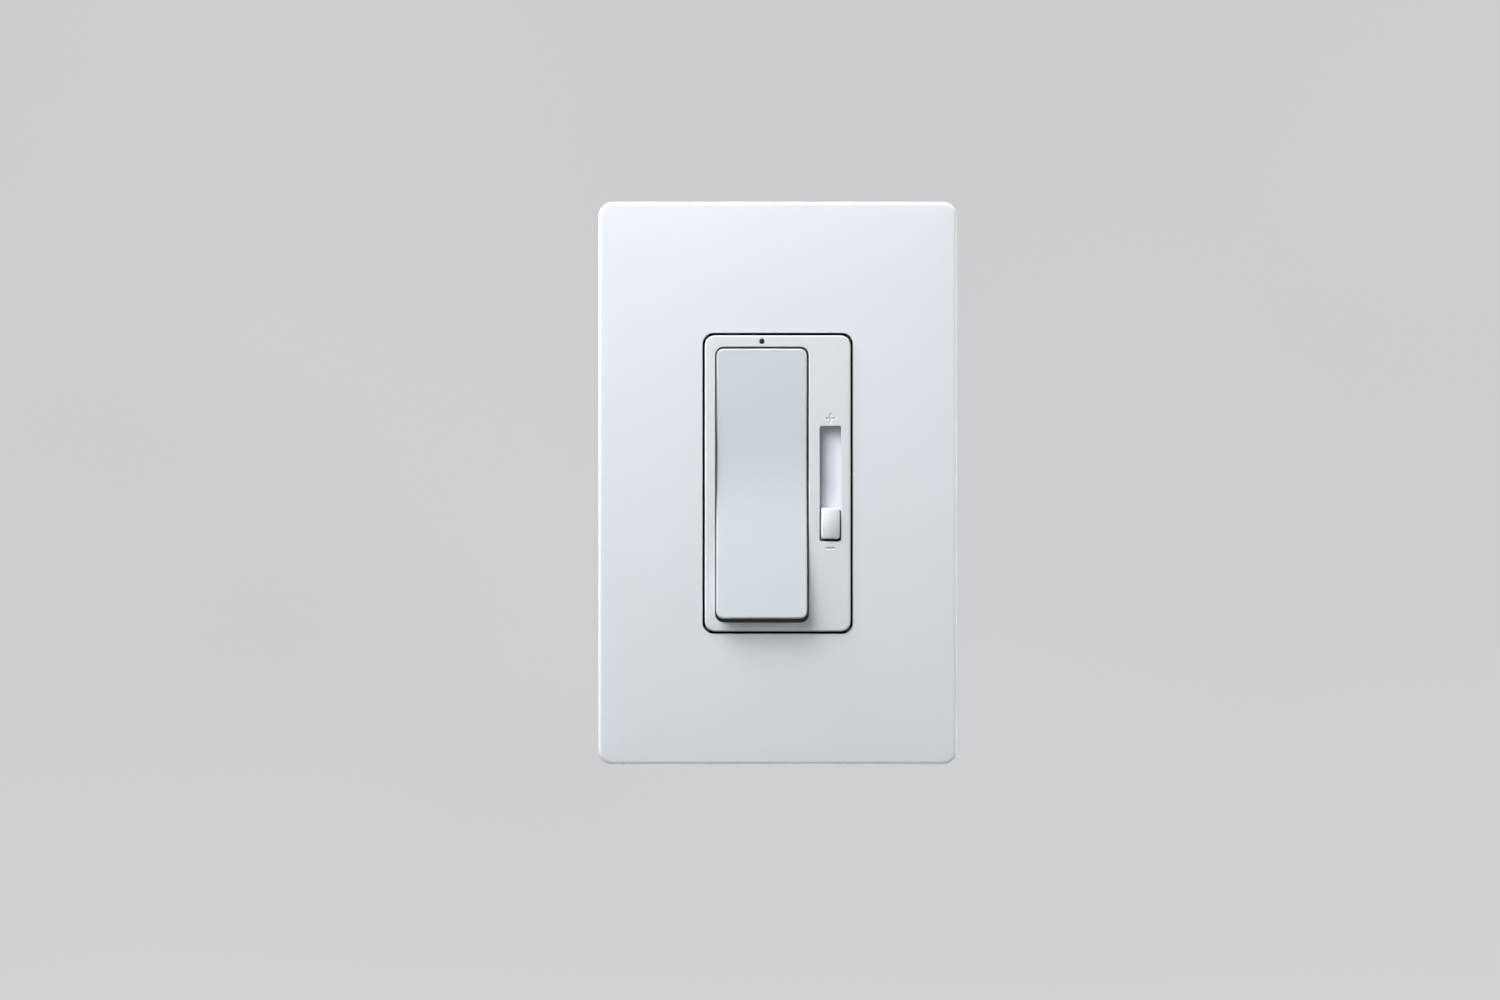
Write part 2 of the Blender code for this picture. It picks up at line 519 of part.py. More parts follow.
def slider_parts():
    start = (SLIDER_X, CARRIER_BACK, KNOB_Z)
    left, right = SLIDER_X - 0.75, SLIDER_X + 0.75
    low, high = KNOB_Z - 0.75, KNOB_Z + 0.75
    socket = box(left - 0.3, right + 0.3, -6.0, 0.0, low - 0.3, high + 0.3)
    solid("slider_knob", ((0.84, 0.85, 0.88), 0.36),
          side_profile(knob_face(), SLIDER_X - KNOB_W / 2, SLIDER_X + KNOB_W / 2),
          ("UNION", [box(left, right, -5.9, -4.0, low, high)]),
          origin=start)
    solid("slider_carrier", ((0.80, 0.81, 0.86), 0.45),
          box(CARRIER_LEFT, CARRIER_RIGHT, CARRIER_FRONT, CARRIER_BACK, CARRIER_BOTTOM, CARRIER_TOP),
          ("UNION", [box(left - 1.3, right + 1.3, CARRIER_BACK - 0.3, -2.4, low - 1.4, high + 1.4)]),
          ("DIFFERENCE", [socket]),
          origin=start)
    solid("pot_lever", ((0.85, 0.84, 0.78), 0.45),
          box(left, right, -3.7, 2.2, low, high), origin=start)


def potentiometer():
    back_holes = [box(x - 0.6, x + 0.6, 6.0, 9.0, 15.4, 16.6) for x in (9.4, 11.7, 14.0)]
    solid("pot_case", (STEEL, 0.38, 1.0),
          slab(SLIDER_X, 0, 8.4, 37.0, 0.6, 0.6, 7.8, 2),
          ("DIFFERENCE", [box(8.1, 15.26, 1.2, 7.2, -17.9, 17.9),
                          box(SLIDER_X - 1.6, SLIDER_X + 1.6, 0.0, 2.0, -11.6, 11.6)] + back_holes))
    solid("pot_track", ((0.50, 0.33, 0.16), 0.55),
          box(8.4, 14.96, 5.9, 6.9, -17.5, 17.5),
          ("UNION", [box(x - 0.3, x + 0.3, 6.6, 14.1, 15.7, 16.3) for x in (9.4, 11.7, 14.0)]))
    fingers = [box(x - 0.5, x + 0.5, 4.3, 5.4, KNOB_Z - 2.4, KNOB_Z + 1.8) for x in (10.2, 13.2)]
    solid("pot_wiper", ((0.12, 0.12, 0.13), 0.5),
          box(SLIDER_X - 2.9, SLIDER_X + 2.9, 2.5, 4.5, KNOB_Z - 3.0, KNOB_Z + 3.0),
          ("UNION", fingers),
          origin=(SLIDER_X, 3.5, KNOB_Z))


# Housing and terminals

def along_x(side, near, far, y0, y1, z0, z1):
    """A box between two distances from the middle plane, on one side of it."""
    return box(min(side * near, side * far), max(side * near, side * far), y0, y1, z0, z1)


def rear_housing():
    inner_w, inner_h = BODY_W - 2 * BODY_WALL, BODY_H - 2 * BODY_WALL
    bosses = corners(lambda side, end: rod("Y", (side * BOSS_X, end * BOSS_Z), BOSS_R, 0.0, BODY_BACK - 0.6))
    ledges = corners(lambda side, end: along_x(side, 16.4, 21.0, 15.9, 32.0,
                                               end * 23.0 - 0.6, end * 23.0 + 0.6))
    blocks = [along_x(side, 17.9, 21.2, TERMINAL_Y - 6.5, TERMINAL_Y + 6.5, z - TERMINAL_BLOCK,
                      z + TERMINAL_BLOCK) for side, z in TERMINALS.values()]
    pockets = [along_x(side, 19.1, 23.0, TERMINAL_Y - 5.5, TERMINAL_Y + 5.5, z - TERMINAL_POCKET,
                       z + TERMINAL_POCKET) for side, z in TERMINALS.values()]
    shanks = [rod("X", (TERMINAL_Y, z), 1.9, side * 17.0, side * 20.0, 12) for side, z in TERMINALS.values()]
    holes = corners(lambda side, end: turned("Y", (side * BOSS_X, end * BOSS_Z), [
        (-1.0, 1.6), (29.3, 1.6), (29.3, 2.75), (34.0, 2.75)]))
    solid("rear_housing", ((0.05, 0.05, 0.055), 0.5),
          slab(0, 0, BODY_W, BODY_H, BODY_R, 0.0, BODY_BACK),
          ("DIFFERENCE", [slab(0, 0, inner_w, inner_h, 2.0, -1.0, BODY_BACK - BODY_WALL)]),
          ("UNION", bosses + ledges + blocks),
          ("DIFFERENCE", pockets + shanks + holes))


def housing_screws():
    places = [(side, end) for side in (-1, 1) for end in (1, -1)]
    for number, (side, end) in enumerate(places, start=1):
        x, z = side * BOSS_X, end * BOSS_Z
        solid(f"housing_screw_{number}", (STEEL, 0.32, 1.0),
              turned("Y", (x, z), [(BODY_SCREW_START, 0.8), (-1.2, BODY_SHANK), (29.6, BODY_SHANK),
                                   (29.6, BODY_HEAD_R), (31.0, BODY_HEAD_R), (31.5, 1.6)], 12),
              ("DIFFERENCE", [box(x - 1.5, x + 1.5, 30.6, 32.5, z - 0.3, z + 0.3),
                              box(x - 0.3, x + 0.3, 30.6, 32.5, z - 1.5, z + 1.5)]))


def side_terminals():
    y = TERMINAL_Y
    for name, (side, z) in TERMINALS.items():
        screw_look = ((0.06, 0.06, 0.065), 0.35, 0.8) if name == "common" else (BRASS, 0.3, 1.0)
        clearance = rod("X", (y, z), HOLE_R, side * 18.0, side * 22.5, 12)
        solid("terminal_plate_" + name, (BRASS, 0.35, 1.0),
              along_x(side, 19.4, 20.4, y - TERMINAL_PLATE, y + TERMINAL_PLATE, z - TERMINAL_PLATE,
                      z + TERMINAL_PLATE),
              ("DIFFERENCE", [clearance]))
        solid("terminal_clamp_" + name, ((0.66, 0.62, 0.48), 0.35, 1.0),
              along_x(side, 20.7, 21.6, y - 4.1, y + 4.1, z - TERMINAL_CLAMP, z + TERMINAL_CLAMP),
              ("DIFFERENCE", [clearance]))
        profile = [(18.5, 1.2), (18.8, TERMINAL_SHANK), (21.9, TERMINAL_SHANK), (21.9, TERMINAL_HEAD_R),
                   (23.4, TERMINAL_HEAD_R - 0.1), (23.8, 2.6)]
        solid("terminal_screw_" + name, screw_look,
              turned("X", (y, z), [(side * along, radius) for along, radius in profile], 16),
              ("DIFFERENCE", [along_x(side, 22.8, 25.0, y - 4.5, y + 4.5, z - 0.45, z + 0.45)]))


# Electronics

FILM_PINS = [(-12.5, 15.7), (0.5, 15.7)]
CAN_PINS = [(8.0, 17.5), (10.5, 17.5)]
DISC_PINS = [(10.0, -5.0), (10.0, 2.0)]
FUSE_PINS = [(-13.5, -26.0), (-13.5, -16.0)]
SMALL_PINS = [(-5.0, -21.5), (0.0, -21.5)]


def pins(places, back, radius=0.35):
    return [rod("Y", place, radius, 14.0, back, 6) for place in places]


def circuit_board():
    places = FILM_PINS + CAN_PINS + DISC_PINS + FUSE_PINS + SMALL_PINS
    solid("circuit_board", ((0.04, 0.20, 0.09), 0.45),
          box(-BOARD_W / 2, BOARD_W / 2, BOARD_FRONT, BOARD_BACK, -BOARD_H / 2, BOARD_H / 2),
          ("DIFFERENCE", [rod("Y", place, 0.7, 14.0, 16.0, 8) for place in places]))


def capacitors():
    solid("film_capacitor", ((0.55, 0.12, 0.06), 0.4),
          slab(-6.0, 15.7, 16.0, 7.4, 0.8, 16.2, 27.6, 2), ("UNION", pins(FILM_PINS, 17.0)))
    solid("small_capacitor", ((0.60, 0.42, 0.08), 0.4),
          slab(-2.5, -21.5, 7.2, 4.2, 0.8, 16.2, 23.6, 2), ("UNION", pins(SMALL_PINS, 17.0)))
    solid("electrolytic_capacitor", ((0.05, 0.06, 0.16), 0.35),
          turned("Y", (9.25, 17.5), [(16.2, 3.8), (16.9, 4.0), (17.2, 3.7), (17.5, 4.0), (27.6, 4.0),
                                     (28.0, 3.7)], 18), ("UNION", pins(CAN_PINS, 17.0)))


def small_parts():
    solid("varistor", ((0.05, 0.16, 0.42), 0.4),
          turned("X", (22.6, -1.5), [(8.2, 4.2), (8.9, 5.0), (11.1, 5.0), (11.8, 4.2)], 18),
          ("UNION", [rod("Y", place, 0.35, 14.0, 20.5, 6) for place in DISC_PINS]))
    solid("fuse_resistor", ((0.62, 0.55, 0.38), 0.5),
          turned("Z", (-13.5, 18.6), [(-26.6, 0.35), (-25.2, 0.35), (-25.0, 1.6), (-24.2, 2.0), (-17.8, 2.0),
                                      (-17.0, 1.6), (-16.8, 0.35), (-15.4, 0.35)], 12),
          ("UNION", pins(FUSE_PINS, 18.8)))
    legs = [box(x - 0.2, x + 0.2, 15.9, 16.5, z - 0.5, z + 0.5)
            for x in (7.6, 8.87, 10.13, 11.4) for z in (-19.3, -12.7)]
    solid("control_ic", ((0.02, 0.02, 0.022), 0.5),
          box(7.0, 12.0, 16.0, 17.5, -19.0, -13.0), ("UNION", legs))


def choke():
    x, y, z, ring = -5.0, 21.5, -4.0, 6.2
    solid("choke_core", ((0.10, 0.22, 0.12), 0.55),
          rod("Y", (x, z), ring + 2.0, y - 2.0, y + 2.0, 28),
          ("DIFFERENCE", [rod("Y", (x, z), ring - 2.0, y - 3.0, y + 3.0, 28)]))
    turns, per_turn, reach = 18, 8, 3.4
    path = []
    for i in range(turns * per_turn + 1):
        around = math.radians(20 + 320 * i / (turns * per_turn))
        about = 2 * math.pi * i / per_turn
        radius = ring + reach * math.cos(about)
        path.append((x + radius * math.cos(around), y + reach * math.sin(about),
                     z + radius * math.sin(around)))
    solid("choke_winding", ((0.60, 0.25, 0.10), 0.3, 1.0), tube(path, 0.32, 5))


def triac():
    x = TRIAC_X
    solid("triac_insulator", ((0.75, 0.74, 0.70), 0.6),
          slab(x, 18.4, 12.0, 18.0, 0.6, 0.0, 0.25, 2),
          ("DIFFERENCE", [rod("Y", (x, TRIAC_HOLE_Z), 1.8, -1.0, 1.0, 12)]))
    leads = []
    for lead_x in (x - 2.5, x, x + 2.5):
        leads += [box(lead_x - 0.4, lead_x + 0.4, 2.4, 3.0, 9.2, 11.0),
                  box(lead_x - 0.4, lead_x + 0.4, 2.4, 14.1, 9.2, 9.8)]
    solid("triac", ((0.03, 0.03, 0.032), 0.5),
          box(x - 5.1, x + 5.1, 0.9, 5.0, 10.6, 20.0),
          ("UNION", leads + [box(x - 5.1, x + 5.1, 0.6, 1.9, 10.6, 26.8)]),
          ("DIFFERENCE", [rod("Y", (x, TRIAC_HOLE_Z), 1.85, 0.0, 3.0, 12)]))
    solid("triac_screw", (STEEL, 0.35, 1.0),
          turned("Y", (x, TRIAC_HOLE_Z), [(-1.8, 1.1), (-1.4, 1.4), (2.2, 1.4), (2.2, 2.7), (3.2, 2.6),
                                          (3.6, 1.8)], 14),
          ("DIFFERENCE", [box(x - 4, x + 4, 2.8, 5.0, TRIAC_HOLE_Z - 0.4, TRIAC_HOLE_Z + 0.4)]))


def clear_scene():
    for item in list(bpy.data.objects):
        bpy.data.objects.remove(item, do_unlink=True)


def build():
    clear_scene()
    for make in (wall_plate_cover, subplate, subplate_screws, yoke, box_screws, ground_terminal, bezel,
                 locator_light, rocker_paddle, plunger_parts, contact_arm, fixed_contacts, switch_base,
                 slider_parts, potentiometer, rear_housing, housing_screws, side_terminals, circuit_board,
                 capacitors, small_parts, choke, triac):
        make()


build()
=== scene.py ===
"""Looks for the dimmer slide switch: fine pieces over the CAD frame, materials, light and camera."""

import math

import bmesh
import bpy
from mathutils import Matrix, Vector

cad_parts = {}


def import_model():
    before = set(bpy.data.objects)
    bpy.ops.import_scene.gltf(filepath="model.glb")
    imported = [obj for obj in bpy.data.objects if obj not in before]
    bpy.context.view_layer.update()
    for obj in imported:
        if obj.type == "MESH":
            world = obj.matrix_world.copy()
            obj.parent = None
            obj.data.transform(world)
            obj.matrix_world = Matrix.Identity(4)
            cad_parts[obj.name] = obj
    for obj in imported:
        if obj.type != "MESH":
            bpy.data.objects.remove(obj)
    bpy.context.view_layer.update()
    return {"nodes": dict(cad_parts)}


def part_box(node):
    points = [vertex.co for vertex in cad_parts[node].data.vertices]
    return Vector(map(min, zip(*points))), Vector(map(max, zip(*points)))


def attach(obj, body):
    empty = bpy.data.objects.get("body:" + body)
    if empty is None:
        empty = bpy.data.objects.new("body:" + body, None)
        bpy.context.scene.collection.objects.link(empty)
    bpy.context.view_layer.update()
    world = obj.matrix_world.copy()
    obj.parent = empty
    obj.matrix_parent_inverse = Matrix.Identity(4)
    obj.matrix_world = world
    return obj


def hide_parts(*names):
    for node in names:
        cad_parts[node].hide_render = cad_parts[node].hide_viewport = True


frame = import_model()
NODES = frame["nodes"]
MM = 0.001

# Sizes that the CAD has too, in millimetres. Y is depth: the wall is at 0 and the front is negative.
PLATE_FRONT, PLATE_WALL, PLATE_R = -6.6, 1.8, 3.2
OPENING_W, OPENING_H, OPENING_R = 33.3, 66.7, 2.4
LIP_WALL, LIP_BACK = 1.2, -4.0
CATCH_X, CATCH_HALF_W = 20.0, 3.5
SUB_BACK = -2.2
BOX_SCREW_Z, PLATE_SCREW_Z = 41.67, 48.42
GROUND_X, GROUND_Z = -14.0, -39.2
BEZEL_R, BEZEL_BACK, BEZEL_FACE, BEZEL_WALL = 2.2, -2.2, 1.6, 1.2
BEZEL_FLANGE, BEZEL_FLANGE_T = 1.0, 0.7
WINDOW_X, WINDOW_Z, WINDOW_W, WINDOW_H, WINDOW_R = -3.475, -0.3, 20.75, 61.1, 1.9
SLOT_X, SLOT_Z, SLOT_W, SLOT_H, SLOT_R = 11.68, -0.1, 4.75, 25.6, 0.5
MARK_X, MARK_Z, MARK_W = 11.65, 14.4, 2.2
PIPE_Z = 31.45
LEG_X, LEG_HALF_W = 10.0, 2.0
HINGE = (-3.5, -3.4, 0.0)
REST_TILT = math.radians(-2.6)
PADDLE_X, PADDLE_Z, PADDLE_W, PADDLE_H, PADDLE_R = -3.55, -0.2, 20.1, 59.8, 1.6
PADDLE_SLOPE, PADDLE_BLEND, PADDLE_VERTEX = math.tan(math.radians(4.2)), 8.3, -6.3
PADDLE_SKIN, PADDLE_SKIRT, PADDLE_BACK = 1.4, 1.2, -3.9
BOSS_X, BOSS_Z = 18.2, 30.7
TERMINAL_Y, TERMINAL_POCKET = 11.5, 6.6
TERMINALS = (("common", -1, -8.0), ("traveller_upper", 1, 12.5), ("traveller_lower", 1, -12.5))
THREAD_PITCH = 0.794

# How far behind the bezel's front its walls are painted near black as shade: the outer and window walls, then
# two of the slot's.
DARK_DEPTH, SLOT_DARK_DEPTH = 0.5, 1.0


def outline(node):
    """Middle across, middle up, width, height, front and back of a CAD node, in millimetres."""
    low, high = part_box(node)
    left, front, bottom = (value / MM for value in low)
    right, back, top = (value / MM for value in high)
    return (left + right) / 2, (bottom + top) / 2, right - left, top - bottom, front, back


def about(middle, half):
    """The two ends of a stretch about its middle."""
    return middle - half, middle + half


def sided(side, near, far):
    """The two ends of a stretch on one side of zero, lower end first."""
    return sorted((side * near, side * far))


# ---------------------------------------------------------------- loops and meshes, in millimetres

def rounded(x, z, width, height, radius, corner=8, across=1, up=1):
    """(x, z) points round a rectangle: corner steps at each corner, across and up steps along the sides."""
    points = []
    half_w, half_h = width / 2 - radius, height / 2 - radius
    centres = ((half_w, half_h), (-half_w, half_h), (-half_w, -half_h), (half_w, -half_h))

    def on_corner(quarter, degrees):
        dx, dz = centres[quarter % 4]
        angle = math.radians(degrees)
        return x + dx + radius * math.cos(angle), z + dz + radius * math.sin(angle)

    for quarter in range(4):
        points += [on_corner(quarter, 90 * quarter + 90 * i / corner) for i in range(corner + 1)]
        start, end = points[-1], on_corner(quarter + 1, 90 * (quarter + 1))
        steps = up if quarter in (1, 3) else across
        points += [tuple(a + (b - a) * (i / steps) for a, b in zip(start, end)) for i in range(1, steps)]
    return points


def grown(grow, x, z, width, height, radius, corner=8, across=1, up=1, least=0.0):
    """A rounded rectangle with its outline moved out by grow. Its corner radius never falls below least."""
    radius = max(radius + grow, least)
    return rounded(x, z, width + 2 * grow, height + 2 * grow, radius, corner, across, up)


def circle(x, z, radius, sides=24):
    angles = [2 * math.pi * i / sides for i in range(sides)]
    return [(x + radius * math.cos(angle), z + radius * math.sin(angle)) for angle in angles]


def lift(loop, y):
    """A loop of (x, z) points at one depth, or at the depth that y(x, z) gives."""
    return [(x, y(x, z) if callable(y) else y, z) for x, z in loop]


def fillet(radius, steps=6):
    """(inset, setback) pairs from the flat face to the side wall."""
    angles = [math.radians(90 * i / steps) for i in range(steps + 1)]
    return [(radius * (1 - math.sin(angle)), radius * (1 - math.cos(angle))) for angle in angles]


class Builder:
    """Collects loops and faces in one mesh."""

    def __init__(self):
        self.bm = bmesh.new()

    def ring(self, points):
        return [self.bm.verts.new([value * MM for value in point]) for point in points]

    def skin(self, rings, closed=False):
        """Faces between rings of equal length; closed joins the last to the first."""
        for one, two in zip(rings, rings[1:] + rings[:1] if closed else rings[1:]):
            for i in range(len(one)):
                j = (i + 1) % len(one)
                self.bm.faces.new((one[i], one[j], two[j], two[i]))

    def cap(self, ring):
        self.bm.faces.new(ring)

    def fill(self, rings):
        """A flat region bounded by the first ring, with the other rings as its holes."""
        edges = []
        for ring in rings:
            for pair in zip(ring, ring[1:] + ring[:1]):
                edges.append(self.bm.edges.get(pair) or self.bm.edges.new(pair))
        bmesh.ops.triangle_fill(self.bm, use_beauty=True, use_dissolve=False, edges=edges)

    def close_seam(self, ring):
        """Fills a long narrow ring with faces across it."""
        count = len(ring)
        low = min(range(count), key=lambda i: (ring[i].co.z, ring[i].co.x))
        turned = ring[low:] + ring[:low]
        for i in range(count // 2 - 1):
            self.bm.faces.new((turned[i], turned[i + 1], turned[count - 2 - i], turned[count - 1 - i]))

    def loft(self, loops):
        """A closed lump through loops of 3-D points."""
        rings = [self.ring(loop) for loop in loops]
        self.skin(rings)
        self.cap(rings[0])
        self.cap(rings[-1])

    def block(self, across, depth, up, edge=0.15):
        """A box between (low, high) pairs along X, Y and Z, with its edges eased."""
        (x0, x1), (y0, y1), (z0, z1) = across, depth, up
        box = (x0 + x1) / 2, (z0 + z1) / 2, x1 - x0, z1 - z0, 2 * edge, 2
        steps = ((-edge, y0), (0, y0 + edge), (0, y1 - edge), (-edge, y1))
        self.loft([lift(grown(grow, *box), y) for grow, y in steps])

    def turn(self, profile, x, z, sides):
        """A lathe shape along Y: profile is (y, radius) pairs."""
        self.loft([lift(circle(x, z, radius, sides), y) for y, radius in profile])

    def raised_frame(self, x, z, width, height, radius, stroke, y0, y1, eased=0.12):
        """A border of one stroke's width, standing from depth y0 to y1."""
        below = y1 - math.copysign(eased, y1 - y0)
        steps = ((0, y0), (0, below), (eased, y1), (stroke - eased, y1), (stroke, below), (stroke, y0))
        loops = [lift(grown(-inset, x, z, width, height, radius, 6), y) for inset, y in steps]
        self.skin([self.ring(loop) for loop in loops], closed=True)

    def mesh(self, name):
        mesh = bpy.data.meshes.new(name)
        self.bm.to_mesh(mesh)
        self.bm.free()
        return mesh

    def object(self, name, body, looks, replaces=(), slot=None, flat_angle=32, recess=None):
        """Makes the piece; recess says which faces, by their middle, take the near-black material that paints
        shade into the gaps.
        """
        bmesh.ops.recalc_face_normals(self.bm, faces=self.bm.faces)
        if recess:
            for face in self.bm.faces:
                if recess(*(value / MM for value in face.calc_center_median())):
                    face.material_index = 1
        mesh = self.mesh(name)
        item = bpy.data.objects.new(name, mesh)
        bpy.context.scene.collection.objects.link(item)
        mesh.materials.append(looks)
        if recess:
            mesh.materials.append(PAINTED_SHADE)
        mesh.shade_smooth()
        mesh.set_sharp_from_angle(angle=math.radians(flat_angle))
        weighted = item.modifiers.new("weighted", "WEIGHTED_NORMAL")
        weighted.keep_sharp = True
        weighted.weight = 100
        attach(item, body)
        if replaces:
            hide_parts(*replaces)
        return item


# ---------------------------------------------------------------- materials

class Nodes:
    """A short way to lay out shader nodes."""

    def __init__(self, name):
        self.material = bpy.data.materials.new(name)
        self.material.use_nodes = True
        self.tree = self.material.node_tree
        self.surface = self.tree.nodes["Principled BSDF"]
        self.place = self.tree.nodes.new("ShaderNodeTexCoord").outputs["Object"]

    def add(self, kind, **values):
        """A node of that kind; each value sets the input of its name or else the setting of its name."""
        node = self.tree.nodes.new("ShaderNode" + kind)
        for key, value in values.items():
            if key in node.inputs:
                node.inputs[key].default_value = value
            else:
                setattr(node, key, value)
        return node

    def link(self, output, node, name):
        self.tree.links.new(output, node.inputs[name])

    def scaled(self, factors):
        mapping = self.add("Mapping", Scale=factors)
        self.link(self.place, mapping, "Vector")
        return mapping.outputs["Vector"]

    def noise(self, scale, detail=4.0, roughness=0.5, factors=None):
        node = self.add("TexNoise", Scale=scale, Detail=detail, Roughness=roughness)
        self.link(self.scaled(factors) if factors else self.place, node, "Vector")
        return node.outputs["Fac"]

    def spread(self, value, low, high):
        """The middle of a noise's range, 0.3 to 0.7, moved to low..high."""
        node = self.add("MapRange", **{"From Min": 0.3, "From Max": 0.7, "To Min": low, "To Max": high})
        self.link(value, node, "Value")
        return node.outputs["Result"]

    def colours(self, value, first, second):
        """A blend of two colours. A mix node's colour sockets share their names, so they go by number."""
        node = self.add("Mix", data_type="RGBA")
        node.inputs[6].default_value = (*first, 1.0)
        node.inputs[7].default_value = (*second, 1.0)
        self.link(value, node, 0)
        return node.outputs[2]

    def bump(self, height, strength, distance):
        node = self.add("Bump", Strength=strength, Distance=distance)
        self.link(height, node, "Height")
        return node.outputs["Normal"]

    def finish(self, colour, roughness, normal=None, metallic=0.0, **values):
        """Wires the surface; the other values are its inputs, with _ for a space."""
        self.link(colour, self.surface, "Base Color")
        self.link(roughness, self.surface, "Roughness")
        if normal is not None:
            self.link(normal, self.surface, "Normal")
        self.surface.inputs["Metallic"].default_value = metallic
        for key, value in values.items():
            self.surface.inputs[key.replace("_", " ")].default_value = value
        return self.material


def moulded(name, colour, roughness=0.4, grain=0.12, shade=0.985, grain_size=0.00022, sheen=0.5):
    """Injection-moulded plastic: a fine spark-eroded grain, faint flow clouds and uneven gloss."""
    nodes = Nodes(name)
    clouds = nodes.noise(38.0, 3.0)
    fine = nodes.noise(1.0 / grain_size, 3.0, 0.6)
    handled = nodes.noise(110.0, 4.0, 0.6)
    tint = nodes.colours(nodes.spread(clouds, 0.0, 1.0), [value * shade for value in colour], colour)
    gloss = nodes.spread(handled, roughness - 0.03, roughness + 0.04)
    normal = nodes.bump(fine, grain, 0.00004)
    return nodes.finish(tint, gloss, normal, Specular_IOR_Level=sheen)


def metal(name, colour, roughness=0.32, factors=(60.0, 60.0, 900.0), grain=0.12, stain=0.86):
    """Plated or rolled metal: drawn lines one way, with soft stains."""
    nodes = Nodes(name)
    lines = nodes.noise(14.0, 5.0, 0.65, factors)
    stains = nodes.noise(190.0, 4.0, 0.6)
    tint = nodes.colours(nodes.spread(stains, 0.0, 1.0), [value * stain for value in colour], colour)
    gloss = nodes.spread(lines, roughness - 0.08, roughness + 0.12)
    return nodes.finish(tint, gloss, nodes.bump(lines, grain, 0.00005), 1.0)


def board_look():
    """Solder mask over copper tracks, which are laid out as bricks of 4.6 x 1.7 mm."""
    nodes = Nodes("board_mask")
    bricks = {"Brick Width": 4.6, "Row Height": 1.7, "Mortar Size": 0.18, "Mortar Smooth": 0.1}
    tracks = nodes.add("TexBrick", Scale=1.0, **bricks)
    nodes.link(nodes.scaled((1 / MM, 1 / MM, 1 / MM)), tracks, "Vector")
    swirl = nodes.noise(420.0, 3.0)
    mask = nodes.colours(tracks.outputs["Fac"], (0.012, 0.085, 0.035), (0.035, 0.19, 0.075))
    relief = nodes.bump(tracks.outputs["Fac"], 0.3, 0.00003)
    return nodes.finish(mask, nodes.spread(swirl, 0.25, 0.4), relief, Coat_Weight=0.4)


def wound_wire():
    nodes = Nodes("enamelled_wire")
    patches = nodes.noise(600.0, 3.0)
    tint = nodes.colours(nodes.spread(patches, 0.0, 1.0), (0.42, 0.12, 0.04), (0.68, 0.27, 0.10))
    return nodes.finish(tint, nodes.spread(patches, 0.22, 0.36), None, 0.85, Coat_Weight=0.6)


PLATE = moulded("plate_plastic", (0.838, 0.865, 0.888), 0.42, 0.10)
BEZEL = moulded("bezel_plastic", (0.81, 0.83, 0.85), 0.40, 0.10)
PADDLE = moulded("paddle_plastic", (0.725, 0.76, 0.78), 0.36, 0.09)
KNOB = moulded("knob_plastic", (0.84, 0.855, 0.88), 0.36, 0.08)
SHUTTER = moulded("shutter_plastic", (0.86, 0.87, 0.93), 0.48, 0.12)
# Near black, though the real walls are the same white plastic: painted shade for walls deep inside gaps.
PAINTED_SHADE = moulded("painted_shade_black", (0.022, 0.023, 0.024), 0.8, 0.3, 0.7, 0.0003, 0.2)
SUB = moulded("subplate_plastic", (0.74, 0.75, 0.76), 0.55, 0.25, 0.95)
HOUSING = moulded("housing_thermoset", (0.022, 0.022, 0.024), 0.46, 0.45, 0.7, 0.0004)
BASE = moulded("base_thermoset", (0.05, 0.045, 0.042), 0.5, 0.4, 0.75, 0.0004)
ACETAL = moulded("natural_acetal", (0.72, 0.69, 0.60), 0.42, 0.2, 0.93)
DARK_ACETAL = moulded("dark_acetal", (0.035, 0.035, 0.038), 0.42, 0.25, 0.8)
SMOKE = moulded("light_pipe_acrylic", (0.028, 0.026, 0.026), 0.12, 0.02, 0.8)
LED = moulded("led_package", (0.75, 0.72, 0.52), 0.3, 0.1)
CHIP = moulded("chip_epoxy", (0.016, 0.016, 0.018), 0.5, 0.5, 0.7, 0.0003)
FILM = moulded("film_epoxy", (0.45, 0.055, 0.025), 0.3, 0.3, 0.85, 0.0009)
YELLOW = moulded("yellow_case", (0.62, 0.36, 0.04), 0.35, 0.15, 0.92)
SLEEVE = moulded("can_sleeve", (0.018, 0.022, 0.075), 0.28, 0.1, 0.8)
DISC = moulded("disc_epoxy", (0.02, 0.075, 0.27), 0.3, 0.35, 0.8, 0.0009)
RESISTOR = moulded("resistor_coat", (0.48, 0.38, 0.22), 0.55, 0.5, 0.85, 0.0003)
PAD = moulded("thermal_pad", (0.60, 0.60, 0.57), 0.7, 0.5, 0.9, 0.0005)
FIBRE = moulded("pressed_fibre", (0.30, 0.17, 0.10), 0.8, 0.9, 0.7, 0.0005)
PHENOLIC = moulded("phenolic_board", (0.36, 0.19, 0.07), 0.5, 0.4, 0.8, 0.0006)
FERRITE = moulded("core_coating", (0.05, 0.16, 0.075), 0.5, 0.5, 0.85, 0.0004)
STEEL = metal("zinc_steel", (0.60, 0.61, 0.63), 0.33)
YOKE = metal("yoke_aluminium", (0.47, 0.48, 0.495), 0.42, (22.0, 40.0, 700.0), 0.16, 0.86)
BRASS = metal("brass_sheet", (0.72, 0.50, 0.20), 0.32)
BRONZE = metal("bronze_strip", (0.72, 0.40, 0.22), 0.3)
SILVER = metal("silver_contact", (0.82, 0.81, 0.78), 0.25)
CLAMP = metal("yellow_zinc", (0.62, 0.56, 0.36), 0.36)
BRIGHT = metal("bright_zinc", (0.68, 0.69, 0.71), 0.30)
GREEN = metal("green_zinc", (0.04, 0.30, 0.10), 0.35)
BLACKED = metal("black_oxide", (0.07, 0.07, 0.075), 0.38)
BOARD = board_look()
WIRE = wound_wire()


# ---------------------------------------------------------------- wall plate cover

